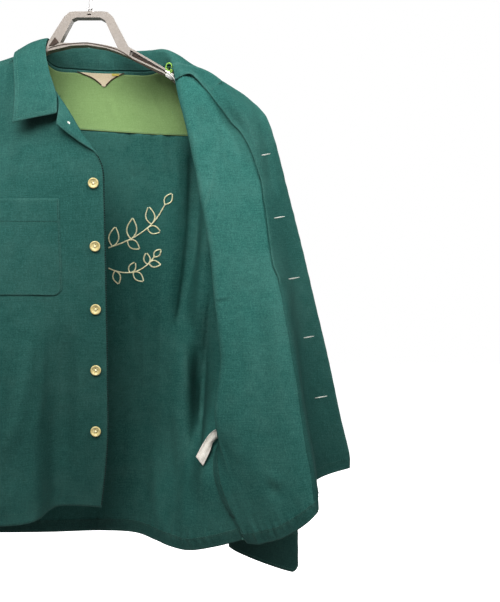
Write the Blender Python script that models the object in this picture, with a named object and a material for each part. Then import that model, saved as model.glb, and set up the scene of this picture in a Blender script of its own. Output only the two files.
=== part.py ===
"""A long-sleeved work shirt on a plastic hanger with a metal hook. Metres, +Z up, front towards -Y,
+X towards the wearer's left. The origin is the inner top of the hook. Tables are in millimetres."""
import math

import bmesh
import bpy
import numpy as np
from mathutils import Matrix, Vector

for old in list(bpy.data.objects):
    bpy.data.objects.remove(old, do_unlink=True)

MM = 0.001
CLOTH = 1.6  # wall of the shirt's cloth
FACING = 1.2  # wall of the facings, the yoke's lining and the pockets
GAP = 0.6  # air between a piece and the one it lies on
SEAM = 0.9  # half of the space between two edges that meet at a seam
FOLD = 5.0  # radius of the opened front's long fold
BUTTON_R = 7.5
BUTTON_T = 2.6
CUFF_H = 62.0

GREEN = (0.030, 0.105, 0.080, 1)
LINING = (0.275, 0.410, 0.165, 1)
CREAM = (0.680, 0.560, 0.330, 1)
PALE = (0.800, 0.770, 0.690, 1)
PLASTIC = (0.430, 0.390, 0.330, 1)
CHROME = (0.700, 0.700, 0.710, 1)
PAD_BROWN = (0.075, 0.060, 0.050, 1)


# ---------------------------------------------------------------- curves and surfaces
def smooth(points, at):
    """Centripetal Catmull-Rom curve through the points, read at fractional indices."""
    p = np.asarray(points, float)
    step = np.maximum(np.linalg.norm(np.diff(p, axis=0), axis=1) ** 0.5, 1e-6)
    slope = np.diff(p, axis=0) / step[:, None]
    tangent = np.empty_like(p)
    near, far = step[:-1, None], step[1:, None]
    tangent[1:-1] = (slope[:-1] * far + slope[1:] * near) / (near + far)
    tangent[0] = 1.5 * slope[0] - 0.5 * tangent[1] if len(p) > 2 else slope[0]
    tangent[-1] = 1.5 * slope[-1] - 0.5 * tangent[-2] if len(p) > 2 else slope[-1]
    at = np.asarray(at, float)
    i = np.clip(np.floor(at).astype(int), 0, len(p) - 2)
    f = (at - i)[:, None]
    h = step[i][:, None]
    return (
        (2 * f**3 - 3 * f**2 + 1) * p[i]
        + (f**3 - 2 * f**2 + f) * h * tangent[i]
        + (3 * f**2 - 2 * f**3) * p[i + 1]
        + (f**3 - f**2) * h * tangent[i + 1]
    )


def net_grid(net, us, vs):
    """A grid [v][u] of points on the smooth surface through the net's points."""
    net = np.asarray(net, float)
    across = np.stack([smooth(row, us) for row in net])
    return np.stack([smooth(across[:, j], vs) for j in range(across.shape[1])], axis=1)


def normals(grid, closed=False):
    if closed:
        du = np.roll(grid, -1, axis=1) - np.roll(grid, 1, axis=1)
    else:
        du = np.gradient(grid, axis=1)
    dv = np.gradient(grid, axis=0)
    n = np.cross(du, dv)
    return n / np.maximum(np.linalg.norm(n, axis=2, keepdims=True), 1e-9)


def lerp_table(table, z, column):
    """Reads a table whose first column is a falling height."""
    rows = np.asarray(table, float)
    at = np.interp(-z, -rows[:, 0], np.arange(len(rows)))
    return smooth(rows, np.atleast_1d(at))[0, column]


# ---------------------------------------------------------------- objects
MATERIALS = {}


def material(name, color, rough, metal=0.0):
    if name not in MATERIALS:
        m = bpy.data.materials.new(name)
        m.use_nodes = True
        b = m.node_tree.nodes["Principled BSDF"]
        b.inputs["Base Color"].default_value = color
        b.inputs["Roughness"].default_value = rough
        b.inputs["Metallic"].default_value = metal
        m.diffuse_color = color
        MATERIALS[name] = m
    return MATERIALS[name]


def add(name, verts, faces, color, rough=0.85, metal=0.0, tidy=True):
    mesh = bpy.data.meshes.new(name)
    mesh.from_pydata([tuple(float(c) * MM for c in v) for v in verts], [], faces)
    obj = bpy.data.objects.new(name, mesh)
    bpy.context.scene.collection.objects.link(obj)
    mesh.materials.append(material(name, color, rough, metal))
    if tidy:
        b = bmesh.new()
        b.from_mesh(mesh)
        bmesh.ops.recalc_face_normals(b, faces=b.faces)
        b.to_mesh(mesh)
        b.free()
    return obj


def cloth(name, grid, color, low=-CLOTH / 2, high=CLOTH / 2, closed=False, along=None, phase=0):
    """A closed wall between two offsets of a grid; closed joins the last column to the first."""
    rows, cols = grid.shape[:2]
    n = normals(grid, closed) if along is None else along
    verts = np.concatenate([(grid + n * high).reshape(-1, 3), (grid + n * low).reshape(-1, 3)])
    half = rows * cols
    faces = []
    spans = cols if closed else cols - 1
    for i in range(rows - 1):
        for j in range(spans):
            a, b = i * cols + j, i * cols + (j + 1) % cols
            c, d = b + cols, a + cols
            if (i + j + phase) % 2:
                tris = ((a, b, c), (a, c, d))
            else:
                tris = ((a, b, d), (b, c, d))
            for t in tris:
                faces.append(t)
                faces.append(tuple(k + half for k in reversed(t)))
    for j in range(spans):
        k = (j + 1) % cols
        last = (rows - 1) * cols
        faces.append((j, j + half, k + half, k))
        faces.append((last + k, last + k + half, last + j + half, last + j))
    if not closed:
        for i in range(rows - 1):
            a, d = i * cols, (i + 1) * cols
            faces.append((d, d + half, a + half, a))
            b, c = i * cols + cols - 1, (i + 1) * cols + cols - 1
            faces.append((b, b + half, c + half, c))
    return add(name, verts, faces, color)


def outline_solid(name, loop, y0, y1, color, rough):
    """A flat outline in X and Z, carried from y0 to y1."""
    n = len(loop)
    verts = [(x, y0, z) for x, z in loop] + [(x, y1, z) for x, z in loop]
    faces = [tuple(range(n)), tuple(range(2 * n - 1, n - 1, -1))]
    faces += [(i, i + n, (i + 1) % n + n, (i + 1) % n) for i in range(n)]
    return add(name, verts, faces, color, rough)


def combine(target, others, operation):
    for other in others:
        mod = target.modifiers.new(operation.lower(), "BOOLEAN")
        mod.operation, mod.solver, mod.object = operation, "EXACT", other
    bpy.context.view_layer.update()
    graph = bpy.context.evaluated_depsgraph_get()
    made = bpy.data.meshes.new_from_object(target.evaluated_get(graph))
    target.modifiers.clear()
    target.data = made
    for other in others:
        bpy.data.objects.remove(other, do_unlink=True)
    return target


def wire(name, path, radius, sides, color, rough, metal, steps):
    """A round bar swept along a flat path in X and Z, closed at both ends."""
    p = smooth([(x, 0.0, z) for x, z in path], np.linspace(0, len(path) - 1, steps))
    t = np.gradient(p, axis=0)
    t /= np.linalg.norm(t, axis=1)[:, None]
    side = np.array([0.0, 1.0, 0.0])
    verts, faces = [], []
    for point, tangent in zip(p, t):
        up = np.cross(side, tangent)
        for k in range(sides):
            a = 2 * math.pi * k / sides
            verts.append(point + radius * (math.cos(a) * up + math.sin(a) * side))
    for i in range(steps - 1):
        for k in range(sides):
            m = (k + 1) % sides
            faces.append((i * sides + k, i * sides + m, (i + 1) * sides + m, (i + 1) * sides + k))
    faces.append(tuple(range(sides)))
    faces.append(tuple((steps - 1) * sides + k for k in reversed(range(sides))))
    return add(name, verts, faces, color, rough, metal)


def button(name, centre, facing):
    """A round button with a raised rim and a dished middle, its back towards the cloth."""
    profile = ((0.0, 1.35), (4.9, 1.35), (5.6, BUTTON_T), (6.9, BUTTON_T), (BUTTON_R, 1.9),
        (BUTTON_R, 0.7), (6.6, 0.0), (0.0, 0.0))
    sides = 12
    turn = Vector(facing).to_track_quat("Z", "Y").to_matrix()
    verts, faces = [], []
    for r, h in profile[1:-1]:
        for k in range(sides):
            a = 2 * math.pi * k / sides
            verts.append(turn @ Vector((r * math.cos(a), r * math.sin(a), h)) + Vector(centre))
    rings = len(profile) - 2
    for i in range(rings - 1):
        for k in range(sides):
            m = (k + 1) % sides
            faces.append((i * sides + k, i * sides + m, (i + 1) * sides + m, (i + 1) * sides + k))
    faces.append(tuple(range(sides)))
    faces.append(tuple((rings - 1) * sides + k for k in range(sides)))
    return add(name, verts, faces, CREAM, 0.35)


# ---------------------------------------------------------------- side seams and armholes
# z, x, y of the front's edge, y of the back's edge; open (an armhole) until the two y agree
SIDE_RIGHT = (
    (-196, -245, -12, 34),
    (-250, -249, -9, 36),
    (-300, -251, -6, 36),
    (-400, -248, 0, 34),
    (-460, -242, 5, 26),
    (-495, -238, 10, 14),
    (-590, -246, 9, 9),
    (-690, -257, 7, 7),
    (-815, -269, 6, 6),
)
SIDE_LEFT = (
    (-226, 237, -8, 34),
    (-260, 240, 1, 38),
    (-300, 241, 8, 40),
    (-400, 241, 14, 40),
    (-470, 240, 18, 34),
    (-505, 238, 22, 26),
    (-590, 222, 15, 15),
    (-656, 207, 1, 1),
    (-728, 184, -37, -37),
    (-790, 211, -38, -38),
    (-829, 228, -36, -36),
)


def side_point(table, z, column):
    x = lerp_table(table, z, 1)
    y = lerp_table(table, z, column)
    return (x, y - SEAM if column == 2 else y + SEAM, z)


# ---------------------------------------------------------------- yoke
# station: front seam or neckline | ridge | down the back | back seam
YOKE = (
    ((-245, -12, -196), (-247, 4, -187), (-246, 24, -200), (-245, 34, -217)),
    ((-180, -14, -159), (-180, 2, -150), (-180, 28, -174), (-180, 42, -213)),
    ((-128, -14, -142), (-128, 1, -133), (-128, 34, -160), (-130, 52, -214)),
    ((-91, -13, -129), (-90, 1, -121.5), (-97, 38, -152), (-102, 56, -216)),
    ((-81, 8, -118.5), (-83, 14, -122), (-87, 44, -160), (-90, 58, -217)),
    ((-62, 35, -131), (-64, 39, -141), (-70, 50, -171), (-74, 59, -218)),
    ((-34, 52, -130), (-35, 54, -141), (-38, 58, -171), (-40, 61, -220)),
    ((8, 55, -132), (8, 57, -143), (8, 60, -173), (8, 63, -223)),
    ((42, 48, -134), (43, 51, -145), (48, 58, -175), (52, 62, -226)),
    ((85, 25, -141), (87, 30, -151), (92, 48, -181), (97, 60, -229)),
    ((111, 9, -138.5), (111, 14, -143), (112, 41, -179), (115, 58, -230)),
    ((122, -12, -149), (121, 3, -141.5), (124, 36, -176), (130, 56, -231)),
    ((150, -13, -169), (150, 3, -160), (152, 34, -190), (157, 52, -233)),
    ((190, -13, -192), (190, 4, -183), (191, 28, -206), (194, 44, -236)),
    ((237, -8, -226), (240, 8, -218), (241, 24, -228), (240, 34, -241)),
)
YOKE_NET = np.array(YOKE, float)  # [station][across]
YOKE_US = (0, 0.7, 1.4, 2, 2.5, 3, 3.5, 4, 4.5, 5, 5.5, 6, 6.5, 7, 7.5, 8, 8.5, 9, 9.5, 10, 10.5,
    11, 11.5, 12, 12.6, 13.3, 14)
YOKE_VS = (0.0, 0.3, 0.7, 1.1, 1.6, 2.3, 3.0)
yoke_grid = net_grid(YOKE_NET.transpose(1, 0, 2), YOKE_US, YOKE_VS)
cloth("yoke", yoke_grid, GREEN)
yoke_n = normals(yoke_grid)
if yoke_n[3, 12, 1] < 0:
    yoke_n = -yoke_n
LINE_LOW = -(CLOTH / 2 + GAP + FACING)
cloth("yoke_lining", yoke_grid[1:], LINING, LINE_LOW, -(CLOTH / 2 + GAP), along=yoke_n[1:], phase=1)


def seam_at(row, station):
    return smooth(YOKE_NET[:, row], [station])[0]


# ---------------------------------------------------------------- back
# the yoke's station above each column: side, two, middle, then the left half's ridges and troughs
BACK_STATIONS = (0, 1.1, 4.2, 7, 8.5, 10.1, 11.8, 12.5, 13.4, 14)
# z | right side | r1 | r2 | middle | l1 | l2 | trough | ridge | l4 | left side (sides come from the seams)
BACK = (
    (-300, (-175, 56), (-85, 68), (5, 74), (72, 74), (118, 70), (152, 86), (178, 56), (212, 56)),
    (-400, (-178, 58), (-88, 72), (5, 80), (70, 80), (112, 74), (148, 90), (168, 50), (208, 56)),
    (-500, (-180, 58), (-88, 74), (5, 84), (66, 86), (106, 74), (131, 86), (162, 52), (204, 48)),
    (-590, (-182, 60), (-88, 76), (5, 88), (66, 90), (104, 72), (134, 58), (157, 86), (188, 42)),
    (-656, (-186, 64), (-88, 80), (4, 90), (64, 90), (100, 68), (134, 50), (157, 78), (178, 24)),
    (-728, (-190, 66), (-88, 84), (2, 90), (60, 84), (98, 62), (130, 34), (150, 14), (166, -32)),
    (-792, (-194, 68), (-90, 86), (0, 90), (56, 74), (94, 44), (122, 14), (142, -14), (172, -31)),
)
BACK_HEM = ((-196, 68, -850), (-92, 84, -856), (0, 86, -854), (56, 66, -851), (92, 32, -852),
    (118, 2, -852), (146, -15, -852), (186, -29, -842))
top = [seam_at(3, s) + (0, 0, -2 * SEAM + 0.6) for s in BACK_STATIONS]
rows = [top]
for z, *points in BACK:
    left = side_point(SIDE_LEFT, z, 3)
    rows.append([side_point(SIDE_RIGHT, z, 3), *[(x, y, z) for x, y in points], left])
rows.append([side_point(SIDE_RIGHT, -815, 3), *BACK_HEM, side_point(SIDE_LEFT, -829, 3)])
BACK_NET = np.array(rows, float)
BACK_US = (0, 0.5, 1, 1.5, 2, 2.5, 3, 3.5, 4, 4.5, 5, 5.5, 6, 6.5, 7, 7.5, 8, 8.5, 9)
BACK_VS = (0, 0.6, 1.2, 2, 2.5, 3, 3.5, 4, 4.5, 5, 5.5, 6, 7, 8)
back_grid = net_grid(BACK_NET, BACK_US, BACK_VS)
cloth("back", back_grid, GREEN)

# ---------------------------------------------------------------- right front
# heights of the section at each column | side from the seam | c1 | c2 | c3 | c4 | roll | edge
FRONT_RIGHT = (
    (-225, (-195, -20, -200), (-142, -24, -185), (-92, -24, -168), (-62, -36, -192),
        (-17, -55, -226), (-14, -63, -258)),
    (-250, (-197, -26, -235), (-146, -31, -225), (-95, -35, -210), (-56, -44, -226),
        (-3, -57, -250), (3, -62, -270)),
    (-275, (-199, -31, -268), (-149, -38, -262), (-97, -43, -255), (-53, -50, -262),
        (11, -58, -273), (20, -60, -282)),
    (-300, (-200, -35, -300), (-150, -44, -300), (-98, -50, -300), (-51, -55, -300),
        (17, -58, -300), (29, -58, -300)),
    (-345, (-201, -41, -345), (-150, -52, -345), (-95, -56, -345), (-50, -57, -345),
        (19, -56, -345), (31, -55, -345)),
    (-412, (-200, -47, -412), (-146, -61, -412), (-88, -61, -412), (-47, -57, -412),
        (20, -53, -412), (32, -52, -412)),
    (-500, (-202, -50, -500), (-142, -68, -500), (-80, -64, -500), (-44, -53, -500),
        (20, -49, -500), (33, -48, -500)),
    (-590, (-205, -53, -590), (-138, -76, -590), (-72, -68, -590), (-42, -46, -590),
        (19, -43, -590), (33, -41, -590)),
    (-690, (-210, -56, -690), (-130, -84, -690), (-66, -76, -690), (-41, -38, -690),
        (17, -36, -690), (32, -35, -690)),
    (-815, (-215, -58, -799), (-125, -90, -795), (-62, -84, -791), (-40, -33, -783), (8, -27, -785),
        (21, -25, -787)),
)
DOWN = np.array((0, -1.2, -2.9))
rows = [[seam_at(0, 0) + DOWN, seam_at(0, 0.85) + DOWN, seam_at(0, 1.9) + DOWN,
    seam_at(0, 3) + DOWN, (-66, -29, -163), (-37, -47, -199), (-34, -66, -242)]]
for z, *points in FRONT_RIGHT:
    rows.append([side_point(SIDE_RIGHT, z, 2), *points])
RIGHT_NET = np.array(rows, float)
RIGHT_US = (0, 0.5, 1, 1.4, 1.8, 2.2, 2.6, 3, 3.5, 4, 4.25, 4.7, 5, 5.25, 5.6, 6)
RIGHT_VS = (0, 0.5, 1, 1.5, 2, 2.5, 3, 4, 5, 5.9, 6.78, 7.4, 8, 8.6, 9.3, 10)
right_grid = net_grid(RIGHT_NET, RIGHT_US, RIGHT_VS)
for j, u in enumerate(RIGHT_US):
    if u <= 3:
        right_grid[0, j] = seam_at(0, np.interp(u, (0, 1, 2, 3), (0, 0.85, 1.9, 3))) + DOWN
right_n = normals(right_grid)
if right_n[8, 8, 1] > 0:
    right_n = -right_n
cloth("front_right", right_grid, GREEN, along=right_n)
k = RIGHT_US.index(4)
cloth("facing_right", right_grid[:, k:], GREEN, LINE_LOW, -(CLOTH / 2 + GAP), along=right_n[:, k:],
    phase=k)
# patch pocket on the right breast
a, b = RIGHT_US.index(1.8), RIGHT_US.index(4.25) + 1
c, d = RIGHT_VS.index(5), RIGHT_VS.index(6.78) + 1
cloth("pocket_right", right_grid[c:d, a:b], GREEN, CLOTH / 2 + GAP, CLOTH / 2 + GAP + FACING,
    along=right_n[c:d, a:b], phase=a + c)

# ---------------------------------------------------------------- left front, swung open
# side z | mid | fold | quarter | crest | valley | edge: the panel runs in to its fold, turns, and runs out again
FRONT_LEFT = (
    (-245, (192, -9, -228), (133, -23, -196), (164, -27, -192), (197, -23, -199), (226, -15, -203),
        (256, 4, -208)),
    (-275, (194, -5, -262), (145, -28, -241), (182, -26, -239), (219, -21, -237), (244, -15, -235),
        (266, 2, -230)),
    (-343, (204, 0, -343), (165, -34, -343), (210, -31, -342), (254, -21, -341), (276, 2, -338),
        (295, 22, -335)),
    (-416, (208, 2, -416), (178, -38, -416), (220, -37, -416), (265, -28, -415), (293, 10, -413),
        (315, 28, -411)),
    (-487, (210, 2, -487), (185, -43, -487), (230, -46, -487), (280, -45, -487), (304, 8, -487),
        (333, 30, -487)),
    (-569, (212, -12, -569), (194, -50, -569), (242, -58, -569), (294, -60, -568), (313, 8, -572),
        (354, 30, -575)),
    (-656, (199, -24, -656), (187, -52, -656), (244, -65, -656), (307, -72, -653), (322, 6, -661),
        (374, 30, -669)),
    (-728, (192, -43, -729), (206, -50, -728), (255, -69, -726), (319, -80, -720), (332, 6, -722),
        (387, 30, -725)),
    (-829, (234, -42, -833), (248, -54, -831), (284, -75, -814), (326, -85, -779), (330, 4, -757),
        (387, 30, -742)),
)
rows = [[seam_at(0, 14) + DOWN, seam_at(0, 12.9) + DOWN, seam_at(0, 11.12) + DOWN + (0, -3.2, 0),
    (150, -15, -156), (180, 0, -157), (213, 7, -174), (240, 10, -191)]]
for z, *points in FRONT_LEFT:
    rows.append([side_point(SIDE_LEFT, z, 2), *points])
LEFT_NET = np.array(rows, float)
# the fold itself is rounded by a point on each side of it, above the height where it fades
FOLD_ROWS = 8  # sections, from the top, that have the fold
extra = []
for i, row in enumerate(LEFT_NET):
    share = 1.0 if i < FOLD_ROWS else 0.0
    x, y, z = row[2]
    if i == 0:
        before, after = seam_at(0, 11.5) + DOWN, (x + 6, y - 4.5, z + 1)
    elif share:
        before, after = (x + 4.5, y + FOLD, z), (x + 4.5, y - 0.9 * FOLD, z)
    else:
        before = tuple(0.6 * row[2] + 0.4 * row[1])
        after = tuple(0.75 * row[2] + 0.25 * row[3])
    extra.append([row[0], row[1], before, row[2], after, *row[3:]])
LEFT_NET = np.array(extra, float)
LEFT_US = (0, 0.5, 1, 1.5, 2, 2.5, 3, 3.5, 4, 4.5, 5, 5.5, 6, 6.3, 6.6, 7, 7.5, 8)
LEFT_VS = (0, 0.5, 1, 1.5, 2, 2.5, 3, 3.5, 4, 4.92, 5.5, 6, 6.5, 7, 7.5, 8, 8.5, 9)
left_grid = net_grid(LEFT_NET, LEFT_US, LEFT_VS)
for j, u in enumerate(LEFT_US):
    if u <= 2:
        left_grid[0, j] = seam_at(0, np.interp(u, (0, 1, 2), (14, 12.9, 11.5))) + DOWN
left_n = normals(left_grid)
if left_n[8, 10, 1] < 0:
    left_n = -left_n
cloth("front_left", left_grid, GREEN, along=left_n)
k = LEFT_US.index(6)
cloth("facing_left", left_grid[:, k:], GREEN, LINE_LOW, -(CLOTH / 2 + GAP), along=left_n[:, k:],
    phase=k)

# ---------------------------------------------------------------- collar
# station: neckline | roll | leaf's middle | leaf's edge, from the right front round the neck to the left
COLLAR = (
    ((-38, -57, -222), (-35, -61, -225), (-64, -67, -233), (-94, -68, -240)),
    ((-40, -49, -198), (-37, -55, -200), (-66, -62, -211), (-94, -61, -216)),
    ((-69, -31, -161), (-52, -34, -160), (-76, -44, -178), (-98, -45, -186)),
    ((-92, -14, -126.5), (-63, -15, -123), (-85, -24, -130), (-105, -29, -141)),
    ((-81, 7, -116.5), (-65, 8, -98), (-86, 5, -104), (-109, 3, -120)),
    ((-62, 35, -129), (-61, 32, -103), (-74, 45, -109), (-93, 56, -146)),
    ((-34, 52, -128), (-40, 52, -95), (-44, 64, -103), (-50, 70, -152)),
    ((8, 55, -130), (4, 57, -97), (4, 69, -105), (4, 75, -157)),
    ((42, 48, -132), (47, 47, -104), (54, 61, -110), (62, 71, -162)),
    ((85, 25, -139), (86, 27, -109), (99, 41, -116), (117, 53, -168)),
    ((113, 8, -136.5), (108, 12, -113), (124, 28, -122), (145, 47, -178)),
    ((124, -12, -145), (128, 8, -122), (142, 27, -134), (158, 48, -188)),
    ((148, -15, -152.5), (150, 6, -137), (156, 30, -150), (168, 47, -198)),
    ((176, -2, -153), (177, 5, -150), (176, 30, -172), (176, 46, -203)),
)
COLLAR_NET = np.array(COLLAR, float)
collar_grid = net_grid(COLLAR_NET.transpose(1, 0, 2), np.linspace(0, 13, 24),
    (0, 0.5, 0.85, 1.15, 1.6, 2.3, 3))
cloth("collar", collar_grid, GREEN)


# ---------------------------------------------------------------- sleeves and cuffs
# centre z | drop across | centre x | half width | centre y | half depth, from the armhole to the cuff
SLEEVE_RIGHT = (
    (-385, 118, -265, 20, 12, 36),
    (-478, 75, -290, 40, 12, 40),
    (-605, 20, -304, 44, 14, 34),
    (-730, 0, -320, 48, 14, 27),
    (-822, 0, -331, 53, 14, 21),
)
SLEEVE_LEFT = (
    (-412, 118, 257, 18, 54, 36),
    (-495, 75, 273, 36, 76, 34),
    (-615, 20, 273, 44, 82, 30),
    (-740, 0, 264, 50, 81, 25),
    (-834, -20, 257, 53, 79, 20),
)
ROUND = 16


def armhole(table, tip, sign):
    """The loop of an armhole: over the yoke's end, down the front, round the underarm and up the back."""
    out = sign * 1.8
    ridge, front, behind = tip[1], tip[0], tip[3]
    zs = [table[i][0] for i in (2, 3, 4)]
    low = table[5][0] - 5
    loop = [ridge, front]
    loop += [side_point(table, z, 2) for z in zs]
    loop += [(lerp_table(table, low, 1), (table[5][2] + table[5][3]) / 2, low)]
    loop += [side_point(table, z, 3) for z in reversed(zs)]
    loop += [behind]
    loop = np.array(loop, float) + (out, 0, 0)
    n = len(loop)
    again = np.concatenate([loop[-2:], loop, loop[:3]])
    # even steps down the front, then even steps up the back
    down = np.linspace(0, 5, ROUND // 2 + 1)[:-1]
    up = np.linspace(5, n, ROUND // 2 + 1)[:-1]
    return smooth(again, np.concatenate([down, up]) + 2)


def ring(z, drop, x, half, y, depth, sign, lift=None):
    a = 2 * math.pi * np.arange(ROUND) / ROUND
    zs = z + drop * np.cos(a)
    if lift is not None:
        zs = zs + lift
    squash = np.sign(np.sin(a)) * np.abs(np.sin(a)) ** 0.8
    return np.stack([x + sign * half * np.cos(a), y - depth * squash, zs], axis=1)


def sleeve(side, table, tip, rings, sign):
    hole = armhole(table, tip, sign)
    rows = [hole, hole + (sign * 7.0, 0, -2.0)]
    rows += [ring(*r, sign) for r in rings]
    net = np.array(rows)
    vs = (0, 0.5, 1, 1.4, 2, 2.5, 3, 3.5, 4, 4.6, 5.3, 6)
    grid = np.stack([smooth(net[:, k], vs) for k in range(ROUND)], axis=1)
    cloth("sleeve_" + side, grid, GREEN, closed=True)
    z, drop, x, half, y, depth = rings[-1]
    a = 2 * math.pi * np.arange(ROUND) / ROUND
    # the cuff's outer lower corner is rounded
    corner = np.where(np.cos(a) > 0.97, 9.0, np.where(np.cos(a) > 0.9, 3.0, 0.0))
    levels = (-0.6, -CUFF_H / 2, -CUFF_H)
    band = [ring(z + h, drop, x, half + 1.0, y, depth + 1.0, sign,
        corner * (h == -CUFF_H)) for h in levels]
    cloth("cuff_" + side, np.array(band), GREEN, -1.2, 1.2, closed=True)


sleeve("right", SIDE_RIGHT, YOKE_NET[0], SLEEVE_RIGHT, -1)
sleeve("left", SIDE_LEFT, YOKE_NET[-1], SLEEVE_LEFT, 1)

# ---------------------------------------------------------------- buttons
BUTTON_ROWS = (-323, -412, -500, -586, -674)
FRONT_OUT = CLOTH / 2 + 0.55
fine_v = np.linspace(3.5, 10, 400)
line = net_grid(RIGHT_NET, [4.9, 4.95, 5.0], fine_v)
for i, z in enumerate(BUTTON_ROWS):
    j = int(np.argmin(np.abs(line[:, 1, 2] - z)))
    p = line[j, 1]
    n = np.cross(line[j, 2] - line[j, 0], line[min(j + 1, 399), 1] - line[j - 1, 1])
    n /= np.linalg.norm(n)
    n = n if n[1] < 0 else -n
    button(f"button_{i + 1}", p + n * FRONT_OUT, n)

# ---------------------------------------------------------------- hanger
BAR_Y = 6.0  # half thickness of the bridge and the legs
ARM_Y = 7.0
BRIDGE = ((-61, -106), (-38, -70), (-30, -63), (-22, -62), (18, -62), (26, -63), (34, -70), (57, -114),
          (122, -152), (150, -169.5), (190, -192.5), (212, -207), (219, -215), (212, -221), (180,
              -204), (140, -178),
          (108, -153), (60, -130), (42, -122), (24, -116), (-4, -111.5), (-28, -112.5), (-60,
              -120), (-109, -149),
          (-180, -174), (-208, -184), (-218, -181), (-210, -173.5), (-180, -159), (-109,
              -133.5), (-88, -127.5), (-65, -118))
WINDOW = ((-44, -108), (-26, -74), (-20, -71), (15, -71), (22, -75), (41, -116), (24, -111.5),
    (-4, -107.5), (-28, -108.6))
# the channel between the two ribs of each arm, cut from the front and from the back
CHANNEL_LEFT = ((-72, -124), (-109, -139), (-180, -164.5), (-202, -174), (-200, -178), (-180, -170),
    (-109, -145), (-74, -128))
CHANNEL_RIGHT = ((60, -119), (120, -154.5), (190, -197.5), (206, -208.5), (203, -212),
    (180, -200.5), (140, -174.5),
                 (108, -150), (58, -126.5))
WEB_Y = 2.0
body = outline_solid("hanger_body", BRIDGE, -BAR_Y, BAR_Y, PLASTIC, 0.4)
cuts = [outline_solid("window", WINDOW, -20, 20, PLASTIC, 0.4)]
for outline in (CHANNEL_LEFT, CHANNEL_RIGHT):
    cuts.append(outline_solid("front_cut", outline, -20, -WEB_Y, PLASTIC, 0.4))
    cuts.append(outline_solid("back_cut", outline, WEB_Y, 20, PLASTIC, 0.4))
cuts.append(outline_solid("hole", ((-4, -65.5), (2, -65.5), (2, -67.5), (-4, -67.5)), -20, -3,
    PLASTIC, 0.4))
combine(body, cuts, "DIFFERENCE")
# a rough pad that keeps the cloth from sliding, on the foot of the left leg
PAD = ((-60, -113), (-51, -100.5), (-45.5, -107.5), (-52, -112))
outline_solid("hanger_pad", PAD, -BAR_Y - 1.3, -BAR_Y - 0.3, PAD_BROWN, 0.9)
wire("hanger_hook", ((0, -61.6), (0, -52), (0, -46), (5, -38), (13, -30.5), (18.2, -22),
    (18.6, -13), (12.8, -3), (0, 2.1), (-12.8, -3), (-18.6, -13), (-18.2, -22)),
     2.1, 8, CHROME, 0.2, 1.0, 26)

# ---------------------------------------------------------------- labels


def on_facets(us, vs):
    """Points and normals of the yoke read between the corners of its facets."""
    i = np.interp(us, YOKE_US, np.arange(len(YOKE_US)))
    j = np.interp(vs, YOKE_VS, np.arange(len(YOKE_VS)))
    i0 = np.minimum(i.astype(int), len(YOKE_US) - 2)
    j0 = np.minimum(j.astype(int), len(YOKE_VS) - 2)
    a, b = (i - i0)[..., None], (j - j0)[..., None]

    def mix(g):
        upper = g[j0, i0] * (1 - a) + g[j0, i0 + 1] * a
        lower = g[j0 + 1, i0] * (1 - a) + g[j0 + 1, i0 + 1] * a
        return upper * (1 - b) + lower * b

    return mix(yoke_grid), mix(-yoke_n)


LABEL = (6.05, 8.0, 0.32, 1.45)  # from and to along the neck, from and to down the back
rows_v = np.linspace(LABEL[2], LABEL[3], 6)
middle, half = (LABEL[0] + LABEL[1]) / 2, (LABEL[1] - LABEL[0]) / 2
width = 1 - 0.93 * np.linspace(0, 1, 6)
at_u = middle + half * width[:, None] * np.linspace(-1, 1, 9)[None, :]
tri, fn = on_facets(at_u, np.repeat(rows_v[:, None], 9, axis=1))
LABEL_OFF = CLOTH / 2 + GAP + FACING + 0.6
cloth("neck_label", tri, CREAM, LABEL_OFF, LABEL_OFF + 0.8, along=fn)

# a small cloth tab beside the label, under the same seam
tab, tn = on_facets(*np.meshgrid(np.linspace(7.5, 7.75, 3), np.linspace(0.33, 0.6, 3)))
cloth("neck_label_tab", tab, PALE, LABEL_OFF + 1.4, LABEL_OFF + 2.0, along=tn)

# the outer side of the swung-open front carries the second breast pocket
a, b = LEFT_US.index(5), LEFT_US.index(7) + 1
c, d = LEFT_VS.index(3), LEFT_VS.index(4.92) + 1
cloth("pocket_left", left_grid[c:d, a:b], GREEN, CLOTH / 2 + GAP, CLOTH / 2 + GAP + FACING,
    along=left_n[c:d, a:b], phase=a + c)

# care label, a folded strip that hangs from the left side seam
CARE = (
    ((196.8, -11.8, -674), (191.7, -14.7, -685.3)),
    ((183, -25, -676), (182, -28, -692)),
    ((172, -34, -690), (174, -36, -706)),
    ((160, -38, -709), (166, -40, -722)),
)
cloth("care_label", net_grid(np.array(CARE, float), np.linspace(0, 1, 3), np.linspace(0, 3, 7)),
    PALE, -0.4, 0.4)


def cuff_button(side, rings, sign):
    z, drop, x, half, y, depth = rings[-1]
    cx = x + sign * half * 0.45
    # on the back of the cuff, clear of its outer face by the same gap as the front's buttons
    cy = y + depth + 1.0
    button("cuff_button_" + side, (cx, cy + 1.6 - 1.0, z - CUFF_H / 2), (0, 1, 0))


cuff_button("right", SLEEVE_RIGHT, -1)
cuff_button("left", SLEEVE_LEFT, 1)
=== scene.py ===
"""Looks of a long-sleeved work shirt on a plastic hanger: cloth, stitching, buttons, labels and hanger.
Tables are in millimetres, in the frame of the CAD model; +X is the wearer's left, the front faces -Y."""
import math

import bmesh
import bpy
import numpy as np
from mathutils import Matrix, Vector, noise


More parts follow.
